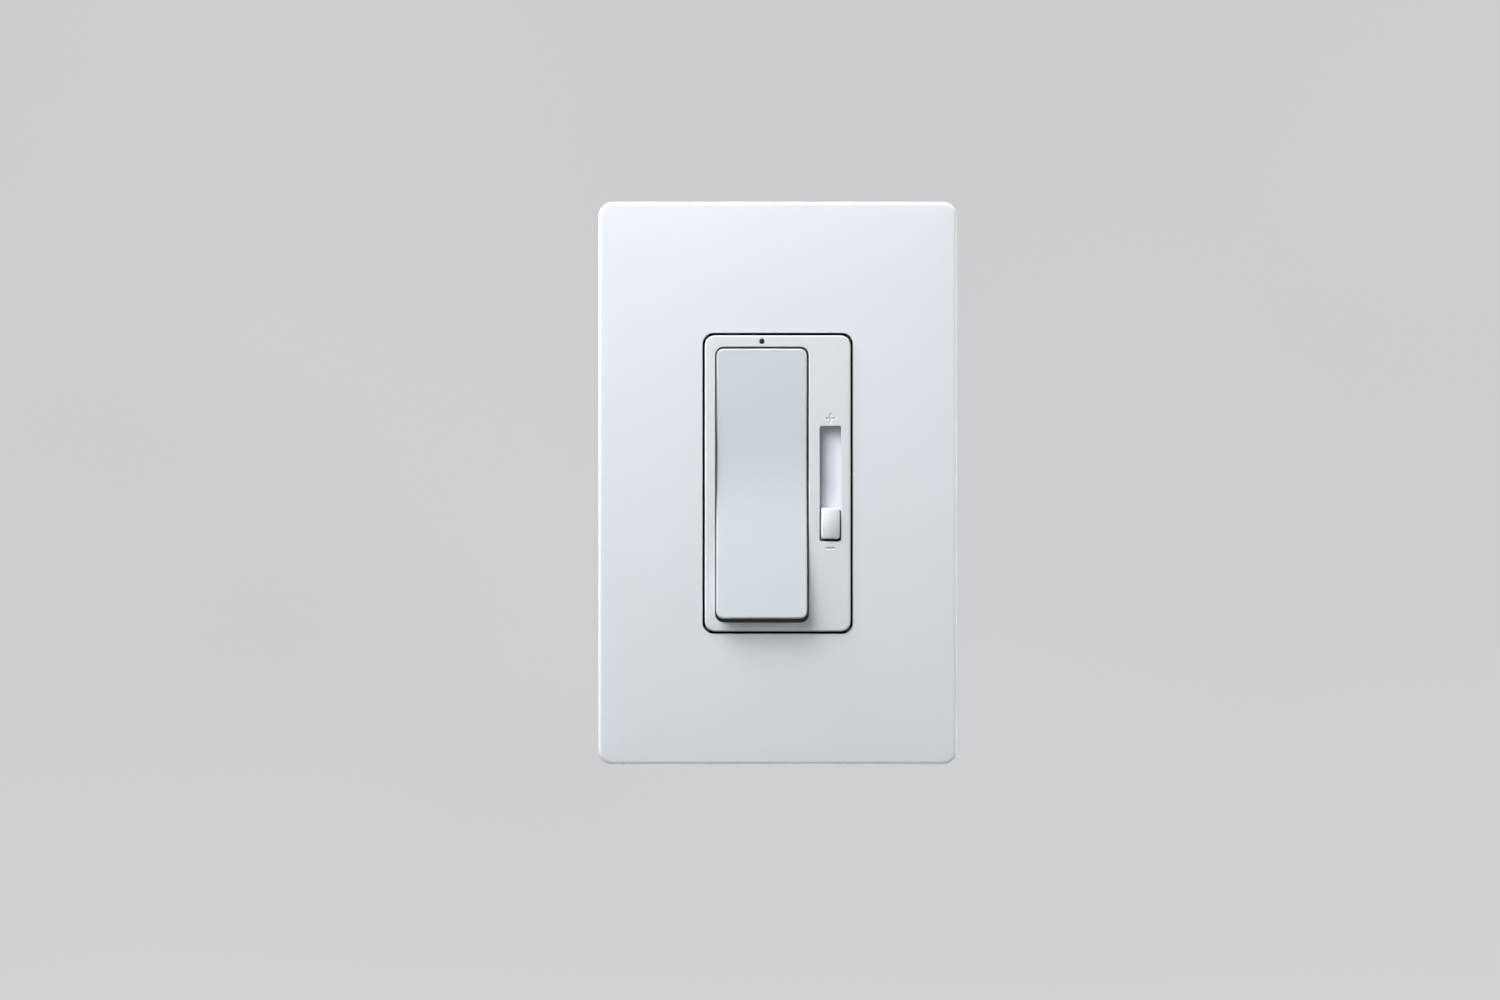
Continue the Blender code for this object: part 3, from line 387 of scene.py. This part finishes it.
def cover():
    """A crowned face between the mouth and the outer edge, on thin walls, with four catches inside."""
    _, _, width, height, front, _ = outline("wall_plate_cover")
    edge, mouth_edge, crown, face_steps = 0.9, 0.18, 0.22, 10
    foot_ease, foot_step = 0.2, -0.25
    catch_depth, catch_hook, catch_root = (-1.3, -0.5), 1.0, 0.3
    plate, mouth = (width, height, PLATE_R), (OPENING_W, OPENING_H, OPENING_R)

    def at(size, grow, y):
        return lift(grown(grow, 0, 0, *size, 8, 10, 16), y)

    loops = [at(mouth, 0, LIP_BACK)]
    loops += [at(mouth, inset, front + setback) for inset, setback in reversed(fillet(mouth_edge))]
    inner = [OPENING_W + 2 * mouth_edge, OPENING_H + 2 * mouth_edge, OPENING_R + mouth_edge]
    outer = [width - 2 * edge, height - 2 * edge, PLATE_R - edge]
    for i in range(1, face_steps):
        share = i / face_steps
        size = [a + (b - a) * share for a, b in zip(inner, outer)]
        loops.append(at(size, 0, front + crown * share ** 2))
    loops += [at(plate, -inset, front + crown + setback) for inset, setback in fillet(edge, 8)]
    loops += [at(plate, 0, foot_step), at(plate, -foot_ease, 0.0)]
    loops += [at(plate, foot_ease - PLATE_WALL, 0.0), at(plate, -PLATE_WALL, foot_step)]
    loops += [at(plate, -PLATE_WALL, front + PLATE_WALL), at(mouth, LIP_WALL, front + PLATE_WALL)]
    loops += [at(mouth, LIP_WALL, LIP_BACK - 0.1), at(mouth, LIP_WALL - 0.1, LIP_BACK)]
    piece = Builder()
    piece.skin([piece.ring(loop) for loop in loops], closed=True)
    inside = height / 2 - PLATE_WALL
    for side in (-1, 1):
        for end in (-1, 1):
            catch = about(side * CATCH_X, CATCH_HALF_W)
            piece.block(catch, catch_depth, sided(end, inside - catch_hook, inside + catch_root))

    # The mouth's walls from 0.3 mm behind the face on are painted near black: painted shade in the gap round
    # the bezel.
    def painted_shade_in_mouth(x, y, z):
        return abs(x) < OPENING_W / 2 + 0.1 and abs(z) < OPENING_H / 2 + 0.1 and y > front + 0.3

    piece.object("plate_cover", "fixed", PLATE, ["wall_plate_cover"], "plate_white", recess=painted_shade_in_mouth)


# ---------------------------------------------------------------- bezel

def cross(x, z, width, height, stroke):
    """The outline of a plus sign."""
    a, b, s = width / 2, height / 2, stroke / 2
    corners = ((a, -s), (a, s), (s, s), (s, b), (-s, b), (-s, s),
               (-a, s), (-a, -s), (-s, -s), (-s, -b), (s, -b), (s, -s))
    return [(x + dx, z + dz) for dx, dz in corners]


def bezel():
    """A face with three openings and two marks, on thin walls, with a flange round its foot."""
    _, _, flange_w, flange_h, front, _ = outline("bezel")
    width, height = flange_w - 2 * BEZEL_FLANGE, flange_h - 2 * BEZEL_FLANGE
    edge, foot_ease = 0.4, 0.15
    wall_top = front + edge + 0.15
    leg_depth, leg_up, hook_depth, hook_up = (-3.2, 1.4), (31.6, 32.8), (0.1, 1.4), (30.5, 32.3)
    post, post_up = (7.2, 8.4), (1.5, 3.2)
    pipe_x, pipe_r = outline("locator_light_pipe")[0], 0.6
    openings = (
        (lambda grow: grown(grow, WINDOW_X, WINDOW_Z, WINDOW_W, WINDOW_H, WINDOW_R), 0.2, True),
        (lambda grow: grown(grow, SLOT_X, SLOT_Z, SLOT_W, SLOT_H, SLOT_R, 6), 0.14, True),
        (lambda grow: circle(pipe_x, PIPE_Z, pipe_r + grow, 20), 0.08, False),
    )
    marks = (
        lambda grow: cross(MARK_X, MARK_Z, MARK_W + 2 * grow, 2.4 + 2 * grow, 0.46 + 2 * grow),
        lambda grow: grown(grow, MARK_X, -MARK_Z, MARK_W, 0.5, 0.2, 2),
    )
    piece = Builder()
    steps = [(inset, front + setback) for inset, setback in fillet(edge)]
    steps += [(0, wall_top), (0, BEZEL_BACK - foot_ease), (foot_ease, BEZEL_BACK),
              (BEZEL_WALL - foot_ease, BEZEL_BACK), (BEZEL_WALL, BEZEL_BACK - foot_ease),
              (BEZEL_WALL, front + BEZEL_FACE)]
    shell = [piece.ring(lift(grown(-inset, 0, 0, width, height, BEZEL_R), y)) for inset, y in steps]
    piece.skin(shell)
    front_rings, back_rings = [shell[0]], [shell[-1]]
    for opening, round_edge, through in openings:
        depths = fillet(round_edge, 5) + [(0, DARK_DEPTH), (0, SLOT_DARK_DEPTH + 0.05)]
        if through:
            depths.append((0, BEZEL_FACE))
        walls = [piece.ring(lift(opening(inset), front + depth)) for inset, depth in depths]
        piece.skin(walls)
        front_rings.append(walls[0])
        if through:
            back_rings.append(walls[-1])
        else:
            piece.cap(walls[-1])
    engraving = ((0.05, 0), (0.02, 0.02), (-0.15, 0.22))
    for mark in marks:
        cut = [piece.ring(lift(mark(grow), front + depth)) for grow, depth in engraving]
        piece.skin(cut)
        piece.cap(cut[-1])
        front_rings.append(cut[0])
    piece.fill(front_rings)
    piece.fill(back_rings)
    for side in (-1, 1):
        for end in (-1, 1):
            leg = about(side * LEG_X, LEG_HALF_W)
            piece.block(leg, leg_depth, sided(end, *leg_up))
            piece.block(leg, hook_depth, sided(end, *hook_up))
    for end in (1, -1):
        piece.block(post, (front + BEZEL_FACE - 0.2, BEZEL_BACK), sided(end, *post_up))
    piece.raised_frame(0, 0, flange_w, flange_h, BEZEL_R + BEZEL_FLANGE, BEZEL_FLANGE + 0.3, BEZEL_BACK,
                       BEZEL_BACK - BEZEL_FLANGE_T, 0.1)

    def painted_shade_walls(x, y, z):
        """The outer walls with the flange round the foot, the window walls, and the left and top walls of the
        slot, from some depth on: painted near black as shade in the gaps.
        """
        rim = abs(x) > width / 2 - 0.05 or abs(z) > height / 2 - 0.05
        window = abs(x - WINDOW_X) < WINDOW_W / 2 + 0.225 and abs(z - WINDOW_Z) < WINDOW_H / 2 + 0.25
        left = abs(x - SLOT_X + SLOT_W / 2) < 0.1
        top = abs(z - SLOT_Z - SLOT_H / 2) < 0.1 and abs(x - SLOT_X) < SLOT_W / 2
        return (rim and y > wall_top) or (window and y > front + DARK_DEPTH) or \
            ((left or top) and y > front + SLOT_DARK_DEPTH)

    piece.object("bezel_face", "fixed", BEZEL, ["bezel"], "bezel_white", recess=painted_shade_walls)


# ---------------------------------------------------------------- paddle

def paddle_depth(z, offset=0.0):
    """How deep the face lies: two flats that meet in a rounded valley."""
    reach = abs(z) if abs(z) > PADDLE_BLEND else (z * z + PADDLE_BLEND * PADDLE_BLEND) / (2 * PADDLE_BLEND)
    return PADDLE_VERTEX - PADDLE_SLOPE * reach + offset


def tilt(point):
    """A point of the untilted paddle, turned to its rest pose about the hinge."""
    x, y, z = point
    dy, dz = y - HINGE[1], z - HINGE[2]
    cosine, sine = math.cos(REST_TILT), math.sin(REST_TILT)
    return x, HINGE[1] + dy * cosine - dz * sine, HINGE[2] + dy * sine + dz * cosine


def paddle():
    """The face, its side walls and its hollow back; both faces end in a seam along the spine."""
    edge, spine = 0.4, 9.88
    piece = Builder()

    def ring(inset, setback=0.0, y=None):
        """Follows the face at that setback, or lies flat at y."""
        loop = grown(-inset, PADDLE_X, PADDLE_Z, PADDLE_W, PADDLE_H, PADDLE_R, 6, 6, 56, 0.12)
        return piece.ring([tilt((px, paddle_depth(pz, setback) if y is None else y, pz)) for px, pz in loop])

    face = [ring(inset) for inset in (spine, 9.0, 7.0, 5.0, 3.0, 1.4)]
    sides = [ring(inset, setback) for inset, setback in fillet(edge, 7)]
    foot = [ring(inset, y=PADDLE_BACK - step)
            for inset, step in ((0, 0.12), (0.12, 0), (PADDLE_SKIRT - 0.1, 0), (PADDLE_SKIRT, 0.1))]
    inside = [ring(inset, PADDLE_SKIN) for inset in (PADDLE_SKIRT, 3.0, 6.0, spine)]
    piece.skin(face + sides + foot + inside)
    piece.close_seam(face[0])
    piece.close_seam(inside[-1])
    add_paddle_fittings(piece)
    piece.object("paddle_face", "rocker", PADDLE, ["rocker_paddle"], "paddle_white", 30)


def add_paddle_fittings(piece):
    """Pivot lugs, pins and plunger stem behind the face."""
    x = HINGE[0]
    lug = ((-5.0, -2.0), (-5.0, 2.0), (-2.7, 1.7), (-2.4, 0.9), (-2.4, -0.9), (-2.7, -1.7))
    pin = ((9.5, 1.2), (11.55, 1.2), (11.75, 1.0))
    stem = ((-5.6, 2.5), (4.3, 2.5), (4.5, 2.3), (4.5, 1.9), (4.4, 1.7), (-4.2, 1.7))

    def lump(loops):
        piece.loft([[tilt(point) for point in loop] for loop in loops])

    for side in (-1, 1):
        lump([[(x + side * reach, y, z) for y, z in lug] for reach in (8.8, 10.0)])
        lump([[(x + side * reach, y, z) for y, z in circle(*HINGE[1:], radius)] for reach, radius in pin])
    lump([lift(circle(x, 0, radius, 28), y) for y, radius in stem])


# ---------------------------------------------------------------- slide knob and its carrier

def knob():
    x, z, width, height, front, _ = outline("slider_knob")
    back, edge, radius, peg, peg_end = -5.6, 0.32, 0.55, 0.75, -4.0
    rise_up, rise_across = 0.44, 0.46
    piece = Builder()

    def face(px, pz):
        """The depth of the face, which is crowned both ways."""
        up, across = (pz - z) / (height / 2), (px - x) / (width / 2)
        return front + 0.05 + rise_up * up ** 2 + rise_across * across ** 2

    def ring(inset, setback, y=None):
        """Follows the face at that setback, or lies flat at y."""
        loop = grown(-inset, x, z, width, height, radius, 5, 8, 14, 0.1)
        return piece.ring(lift(loop, (lambda px, pz: face(px, pz) + setback) if y is None else y))

    rings = [ring(inset, 0) for inset in (1.9, 1.5, 1.0, 0.6)]
    rings += [ring(inset, setback) for inset, setback in fillet(edge, 5)]
    rings += [ring(0, 0, back - 0.1), ring(0.1, 0, back)]
    piece.skin(rings)
    piece.close_seam(rings[0])
    piece.cap(rings[-1])
    piece.block(about(x, peg), (back - 0.3, peg_end), about(z, peg))
    piece.object("slide_knob", "slider", KNOB, ["slider_knob"], "knob_white", 30)


def carrier():
    """The strip behind the slot: the knob sits in a shallow seat, and a hollow hub takes the lever."""
    x, z, width, height, front, _ = outline("slider_carrier")
    hub_x, hub_z = outline("slider_knob")[:2]
    # The seat is offset to the right of and below the knob, so its near-black walls and floor show as a
    # painted shadow along the knob's right and lower sides.
    seat_x, seat_z, seat_w, seat_h = hub_x + 0.26, hub_z - 0.42, 4.1, 7.0
    back, seat_floor, hub_back, eased = front + 0.7, front + 0.4, -2.4, 0.12
    piece = Builder()

    def walls(cx, cz, w, h, radius, steps):
        """Rings at the (grow, y) steps of a wall, whose corner radius follows only outwards."""
        return [piece.ring(lift(rounded(cx, cz, w + 2 * grow, h + 2 * grow, radius + max(grow, 0), 4), y))
                for grow, y in steps]

    outside = walls(x, z, width, height, 0.3,
                    ((-eased, front), (0, front + eased), (0, back - eased), (-eased, back)))
    seat = walls(seat_x, seat_z, seat_w, seat_h, 0.5, ((0.05, front), (0, front + 0.05), (0, seat_floor)))
    bore = walls(hub_x, hub_z, 2.1, 2.1, 0.3, ((0, seat_floor), (0, hub_back)))
    hub = walls(hub_x, hub_z, 4.1, 4.3, 0.4, ((0, back), (0, hub_back - 0.1), (-0.1, hub_back)))
    for rings in (outside, seat, bore, hub):
        piece.skin(rings)
    for pair in ((outside[0], seat[0]), (seat[-1], bore[0]), (outside[-1], hub[0]), (hub[-1], bore[-1])):
        piece.fill(pair)

    # The seat's walls and floor take the near-black material: painted shadow round the knob.
    def painted_shadow_seat(px, y, pz):
        across = abs(px - seat_x) < seat_w / 2 + 0.02
        up = abs(pz - seat_z) < seat_h / 2 + 0.02
        return across and up and front + 0.1 < y < seat_floor + 0.01

    piece.object("carrier_strip", "slider", SHUTTER, ["slider_carrier"], "shutter_white", 30, recess=painted_shadow_seat)


# ---------------------------------------------------------------- modifiers

def weld(item, name, threshold):
    """Joins points nearer than threshold, in metres."""
    item.modifiers.new(name, "WELD").merge_threshold = threshold


def round_edges(item, width, segments, angle):
    """Rounds the edges that turn by more than angle, width in millimetres, and shades the flats flat."""
    edge = item.modifiers.new("edge", "BEVEL")
    edge.width = width * MM
    edge.segments = segments
    edge.limit_method = "ANGLE"
    edge.angle_limit = math.radians(angle)
    weld(item, "clean", 0.000001)
    weighted = item.modifiers.new("weighted", "WEIGHTED_NORMAL")
    weighted.keep_sharp = True


def ease(item, width):
    """Welds the faceted solid, joins its flat faces, and rounds its corners."""
    weld(item, "weld", 0.000002)
    flat = item.modifiers.new("flat", "DECIMATE")
    flat.decimate_type = "DISSOLVE"
    flat.angle_limit = math.radians(0.6)
    round_edges(item, width, 3, 40)


def carve(item, blocks):
    """Cuts boxes, each (lowest corner, highest corner), out of a piece, and keeps the result as its mesh."""
    cutter = bmesh.new()
    for low, high in blocks:
        made = bmesh.ops.create_cube(cutter, size=1.0)
        for vertex in made["verts"]:
            vertex.co = [(a + b) / 2 + part * (b - a) for a, b, part in zip(low, high, vertex.co)]
    mesh = bpy.data.meshes.new("cutter")
    cutter.to_mesh(mesh)
    cutter.free()
    tool = bpy.data.objects.new("cutter", mesh)
    bpy.context.scene.collection.objects.link(tool)
    cut = item.modifiers.new("cut", "BOOLEAN")
    cut.operation, cut.solver, cut.object, cut.use_self = "DIFFERENCE", "EXACT", tool, True
    graph = bpy.context.evaluated_depsgraph_get()
    item.data = bpy.data.meshes.new_from_object(item.evaluated_get(graph))
    item.modifiers.clear()
    bpy.data.objects.remove(tool)


# ---------------------------------------------------------------- screws

THREAD_ROWS = 6
SPOKES = circle(0, 0, 1.0)


def thread(piece, start, end, radius, world):
    """The skin of a V thread whose rows follow the helix and fade out at both ends. Gives its end rings."""
    depth, sides = 0.55 * THREAD_PITCH, len(SPOKES)
    count = round((end - start) / THREAD_PITCH * THREAD_ROWS)
    corners = {}

    def corner(row, side):
        """The point where a row crosses a side; past the last side it is the next turn's first."""
        if side == sides:
            row, side = row + THREAD_ROWS, 0
        share = min(max((row + THREAD_ROWS * side / sides) / count, 0.0), 1.0)
        key = ({0.0: "start", 1.0: "end"}.get(share, row), side)
        if key not in corners:
            y = start + (end - start) * share
            height = min(1.0, 1.25 * (1 - abs(2 * (row % THREAD_ROWS) / THREAD_ROWS - 1)))
            fade = min(1.0, 2 * (y - start) / THREAD_PITCH, 2 * (end - y) / THREAD_PITCH)
            reach = radius - depth * fade * (1 - height)
            corners[key] = piece.ring([world(y, reach * SPOKES[side][0], reach * SPOKES[side][1])])[0]
        return corners[key]

    for row in range(-THREAD_ROWS, count):
        for side in range(sides):
            near = [corner(row, side), corner(row, side + 1)]
            far = [corner(row + 1, side + 1), corner(row + 1, side)]
            different = list(dict.fromkeys(near + far))
            if len(different) > 2:
                piece.bm.faces.new(different)
    return [[corners[(edge, side)] for side in range(sides)] for edge in ("start", "end")]


def screw(node, looks, head, shank, tip, slots, slot_depth, place, along="Y", way=1, threaded=True):
    """A machine screw. head is (y, radius) pairs from its top to its underside, shank is its radius, start
    and end, tip is its last (y, radius), and slots are the half sizes of the cuts in its head. place is where
    its axis runs, along Y or X, and way turns the screw to face the other side."""
    radius, start, end = shank
    u, v = place

    def world(y, a, b):
        return (u + a, way * y, v + b) if along == "Y" else (-way * y, u + a, v + b)

    piece = Builder()

    def ring(y, r):
        return piece.ring([world(y, r * a, r * b) for a, b in SPOKES])

    underside = head[-1][0]
    rings = [ring(y, r) for y, r in head + [(underside + 0.02, radius)]]
    if threaded:
        first, last = thread(piece, start, end, radius, world)
    else:
        first, last = ring(start, radius), ring(end, radius)
        piece.skin([first, last])
    point = ring(*tip)
    piece.skin(rings + [first])
    piece.skin([last, point])
    piece.cap(rings[0])
    piece.cap(point)
    item = piece.object(node + "_fine", "fixed", looks, [node], flat_angle=38)
    top = head[0][0]
    cuts = []
    for a, b in slots:
        one, two = world(top - 1, -a, -b), world(top + slot_depth, a, b)
        ends = [sorted((p * MM, q * MM)) for p, q in zip(one, two)]
        cuts.append(([low for low, _ in ends], [high for _, high in ends]))
    carve(item, cuts)
    item.data.set_sharp_from_angle(angle=math.radians(38))
    round_edges(item, 0.05, 2, 50)


def domed(top, under, radius, steps=6):
    """A pan head's (y, radius) pairs from its top to its underside."""
    rise, crown, brim = under - top, 0.30, 0.85
    pairs = [(top + rise * crown * share ** 2.2, radius * share) for share in (0.25, 0.5, 0.7, brim)]
    for i in range(1, steps + 1):
        angle = math.radians(90 * i / steps)
        y = top + rise * (crown + 0.45 * (1 - math.cos(angle)))
        pairs.append((y, radius * (brim + 0.15 * math.sin(angle))))
    return pairs + [(under - 0.05, radius), (under, radius - 0.05)]


def screws():
    """Every screw whose head can be seen. The drives are a slot, a cross recess, or both."""
    flat_head = [(-3.6, 0.8), (-3.6, 1.6), (-3.58, 2.4), (-3.52, 3.0), (-3.38, 3.12), (-3.2, 3.05)]
    flat_head.append((-1.95, 1.62))
    for name, end in (("top", 1), ("bottom", -1)):
        screw("box_screw_" + name, STEEL, domed(-4.0, -1.92, 3.5), (1.72, -1.0, 20.6), (21.9, 0.95),
              [(4.5, 0.42), (0.42, 2.0)], 0.95, (0, end * BOX_SCREW_Z))
        screw("subplate_screw_" + name, BRIGHT, flat_head, (1.55, -1.6, 5.2), (6.15, 0.9),
              [(4.0, 0.4)], 0.7, (0, end * PLATE_SCREW_Z))
    for number, (side, end) in enumerate(((-1, 1), (-1, -1), (1, 1), (1, -1)), start=1):
        screw(f"housing_screw_{number}", STEEL, domed(-31.5, -29.62, 2.45), (1.25, -29.0, 1.2), (1.75, 0.8),
              [(1.5, 0.3), (0.3, 1.5)], 0.9, (side * BOSS_X, end * BOSS_Z), way=-1, threaded=False)
    screw("ground_screw", GREEN, domed(-4.0, -1.78, 3.3), (1.5, -1.5, 1.3), (1.78, 1.2),
          [(4.0, 0.45), (0.45, 1.8)], 0.9, (GROUND_X, GROUND_Z), way=-1)
    for name, side, z in TERMINALS:
        looks = BLACKED if name == "common" else BRASS
        screw("terminal_screw_" + name, looks, domed(-23.8, -21.92, 3.4), (1.5, -21.6, -19.2), (-18.5, 1.1),
              [(4.0, 0.42)], 0.95, (TERMINAL_Y, z), "X", side)


# ---------------------------------------------------------------- moulded detail on the CAD pieces

def housing_detail():
    """Flange, blank label panel, strip gauge, terminal barriers, ribs and ejector marks of the housing."""
    _, _, width, height, _, back = outline("rear_housing")
    half, sunk = width / 2, 0.3
    piece = Builder()
    piece.raised_frame(0, 0, width + 0.9, height + 0.9, 3.4, 1.2, 2.6, 0.45, 0.2)
    piece.raised_frame(0, 9.0, 27.0, 17.0, 1.0, 0.7, back - sunk, back + 0.3)
    piece.raised_frame(0, -17.5, 13.0, 2.6, 1.2, 0.45, back - sunk, back + 0.25)
    for end in (-1, 1):
        piece.block((-15.0, 15.0), (back - sunk, back + 0.3), about(end * 25.4, 0.4), 0.12)
    ejector = [(-0.2, 1.3), (0.06, 1.3), (0.1, 1.22), (0.1, 1.1), (0.03, 1.05)]
    for x, z in ((-17.0, 12.0), (17.0, 12.0), (-17.0, -12.0), (17.0, -12.0)):
        piece.turn([(back + rise, radius) for rise, radius in ejector], x, z, 28)
    for _, side, z in TERMINALS:
        for end in (-1, 1):
            barrier = about(z + end * TERMINAL_POCKET, 0.45)
            piece.block(sided(side, half - sunk, half + 1.3), (4.2, 18.8), barrier)
        piece.block(sided(side, half - 0.25, half + 0.7), (18.0, 18.7), about(z, 6.5))
    for side in (-1, 1):
        for z in (-27.0, 0.0, 27.0):
            piece.block(sided(side, half - sunk, half + 0.35), (20.5, back - 1.6), about(z, 0.5), 0.12)
    piece.object("housing_detail", "fixed", HOUSING, slot="housing_black")


def subplate_detail():
    """Stiffening ribs and ejector marks on the back of the sub-plate."""
    root, foot, eased = SUB_BACK - 0.3, -1.1, 0.12
    rib_x, rib_z = 28.6, 55.4
    ejector = [(-0.2, 1.2), (0.05, 1.2), (0.08, 1.1), (0.02, 1.0)]
    ejector = [(SUB_BACK + rise, radius) for rise, radius in ejector]
    piece = Builder()
    for side in (-1, 1):
        piece.block(about(side * rib_x, 0.4), (root, foot), (-57.6, 57.6), eased)
        for z in (-45.0, -30.0, -15.0, 0.0, 15.0, 30.0, 45.0):
            piece.block(sided(side, 23.2, 36.4), (root, foot - 0.15), about(z, 0.35), eased)
            piece.turn(ejector, side * 32.6, z + 7.5 if z < 45 else -52.5, 24)
    for end in (-1, 1):
        piece.block((-36.4, 36.4), (root, foot), about(end * rib_z, 0.4), eased)
        for x in (-12.0, 0.0, 12.0):
            piece.block(about(x, 0.35), (root, foot - 0.15), sided(end, rib_z, 58.9), eased)
    piece.object("subplate_detail", "fixed", SUB, slot="subplate_white")


# ---------------------------------------------------------------- CAD nodes that stay

LOOKS = {
    SUB: ["subplate"],
    YOKE: ["yoke"],
    STEEL: ["triac_screw", "pot_case", "plunger_spring"],
    FIBRE: ["screw_retainer_top", "screw_retainer_bottom"],
    CLAMP: ["ground_clamp", "terminal_clamp_common", "terminal_clamp_traveller_upper",
            "terminal_clamp_traveller_lower"],
    BRASS: ["terminal_plate_common", "terminal_plate_traveller_upper", "terminal_plate_traveller_lower",
            "fulcrum_bracket", "upper_contact", "lower_contact"],
    BRONZE: ["contact_blade"],
    SILVER: ["contact_rivet_upper", "contact_rivet_lower"],
    HOUSING: ["rear_housing"],
    BASE: ["switch_base"],
    ACETAL: ["plunger", "pot_lever"],
    DARK_ACETAL: ["pot_wiper"],
    SMOKE: ["locator_light_pipe"],
    LED: ["locator_led"],
    BOARD: ["circuit_board"],
    PHENOLIC: ["pot_track"],
    FERRITE: ["choke_core"],
    WIRE: ["choke_winding"],
    CHIP: ["triac", "control_ic"],
    PAD: ["triac_insulator"],
    FILM: ["film_capacitor"],
    YELLOW: ["small_capacitor"],
    SLEEVE: ["electrolytic_capacitor"],
    DISC: ["varistor"],
    RESISTOR: ["fuse_resistor"],
}
# How much the edges of a node are rounded, in millimetres, where it isn't the usual amount.
USUAL_EASE = 0.1
EASED = {"rear_housing": 0.35, "yoke": 0.12, "subplate": 0.2, "switch_base": 0.2, "film_capacitor": 0.35,
         "small_capacitor": 0.3, "circuit_board": 0.08, "control_ic": 0.05, "triac": 0.12, "pot_case": 0.12}


def dress_nodes():
    for looks, names in LOOKS.items():
        for name in names:
            item = NODES[name]
            item.data.materials.clear()
            item.data.materials.append(looks)
            item.data.shade_smooth()
            item.data.set_sharp_from_angle(angle=math.radians(34))
            ease(item, EASED.get(name, USUAL_EASE))


# ---------------------------------------------------------------- stage, light and camera

DAYLIGHT = (0.975, 1.0, 1.025)
# Name, turn to the right of the camera and rise in degrees, distance and size in metres, power in watts.
FRONT_LAMPS = (
    ("key", -50, 50, 0.8, 0.4, 3.1),
    ("key_soft", -50, 50, 0.8, 0.8, 5.2),
    ("left", -62, 35, 0.8, 0.8, 2.45),
    ("top_near", -30, 62, 0.3, 0.1, 0.19),
    ("left_near", -60, 45, 0.3, 0.25, 0.11),
    ("right_near", 75, 8, 0.3, 0.1, 0.16),
    ("right_edge", 100, 0, 0.6, 0.3, 1.3),
    ("low_edge", 0, -100, 0.28, 0.12, 0.26),
)
REAR_LAMPS = (
    ("rear_key", 150, 45, 0.9, 0.6, 4.6),
    ("rear_fill", -140, 20, 0.9, 0.9, 2.4),
)


def stage():
    """A pale floor that curves up all round into a wall. It gives off most of its light itself."""
    nodes = Nodes("studio_paper")
    tone = nodes.noise(1.5, 2.0)
    tint = nodes.colours(nodes.spread(tone, 0.0, 1.0), (0.118, 0.1199, 0.1215), (0.123, 0.125, 0.1267))
    looks = nodes.finish(tint, nodes.spread(tone, 0.75, 0.85), Emission_Strength=4.7)
    nodes.link(tint, nodes.surface, "Emission Color")
    floor, reach, bend, top, sides = -320.0, 2600.0, 900.0, 3200.0, 64
    profile = [(floor, radius) for radius in (1.0, 600.0, 1200.0, reach - bend)]
    for angle in (math.radians(degrees) for degrees in range(10, 91, 10)):
        profile.append((floor + bend * (1 - math.cos(angle)), reach - bend + bend * math.sin(angle)))
    profile.append((floor + top, reach))
    piece = Builder()
    rings = [piece.ring([(x, y, z) for x, y in circle(0, 0, radius, sides)]) for z, radius in profile]
    piece.skin(rings)
    piece.cap(rings[0][::-1])
    mesh = piece.mesh("floor")
    mesh.materials.append(looks)
    mesh.shade_smooth()
    item = bpy.data.objects.new("floor", mesh)
    bpy.context.scene.collection.objects.link(item)
    item.visible_diffuse = False
    item.visible_glossy = False


def lamp(target, name, turn, rise, distance, size, power):
    """A round soft lamp on a sphere about the origin, aimed at the target."""
    turn, rise = math.radians(turn), math.radians(rise)
    place = (distance * math.sin(turn) * math.cos(rise), -distance * math.cos(turn) * math.cos(rise),
             distance * math.sin(rise))
    data = bpy.data.lights.new(name, "AREA")
    data.shape = "DISK"
    data.size = size
    data.energy = power
    data.color = DAYLIGHT
    item = bpy.data.objects.new(name, data)
    item.location = place
    item.rotation_euler = (Vector(target) - Vector(place)).to_track_quat("-Z", "Y").to_euler()
    item.visible_camera = False
    bpy.context.scene.collection.objects.link(item)


def sky():
    """A faint sky that is brighter towards the back, where the housing is dark."""
    world = bpy.data.worlds.new("studio")
    world.use_nodes = True
    tree = world.node_tree
    direction = tree.nodes.new("ShaderNodeSeparateXYZ")
    tree.links.new(tree.nodes.new("ShaderNodeTexCoord").outputs["Generated"], direction.inputs["Vector"])
    strength = tree.nodes.new("ShaderNodeMapRange")
    for key, value in (("From Min", -0.05), ("From Max", 0.4), ("To Min", 0.22), ("To Max", 0.5)):
        strength.inputs[key].default_value = value
    tree.links.new(direction.outputs["Y"], strength.inputs["Value"])
    tree.links.new(strength.outputs["Result"], tree.nodes["Background"].inputs["Strength"])
    tree.nodes["Background"].inputs["Color"].default_value = (0.95, 0.97, 1.0, 1.0)
    bpy.context.scene.world = world


def lights():
    for row in FRONT_LAMPS:
        lamp((0.0, 0.0, 0.0), *row)
    for row in REAR_LAMPS:
        lamp((0.0, 0.02, 0.0), *row)
    sky()


def camera():
    """The photo's view: square-on, with the plate a little off the middle of the picture."""
    distance, off_x, off_z = 0.924, -0.00615, -0.00368
    data = bpy.data.cameras.new("camera")
    data.lens = 100.0
    data.sensor_width = 36.0
    data.clip_start = 0.01
    item = bpy.data.objects.new("camera", data)
    item.location = (off_x, PLATE_FRONT * MM - distance, off_z)
    item.rotation_euler = (math.radians(90), 0.0, 0.0)
    bpy.context.scene.collection.objects.link(item)
    bpy.context.scene.camera = item


cover()
bezel()
paddle()
knob()
carrier()
screws()
housing_detail()
subplate_detail()
dress_nodes()
stage()
lights()
camera()
scene = bpy.context.scene
scene.view_settings.view_transform = "Standard"
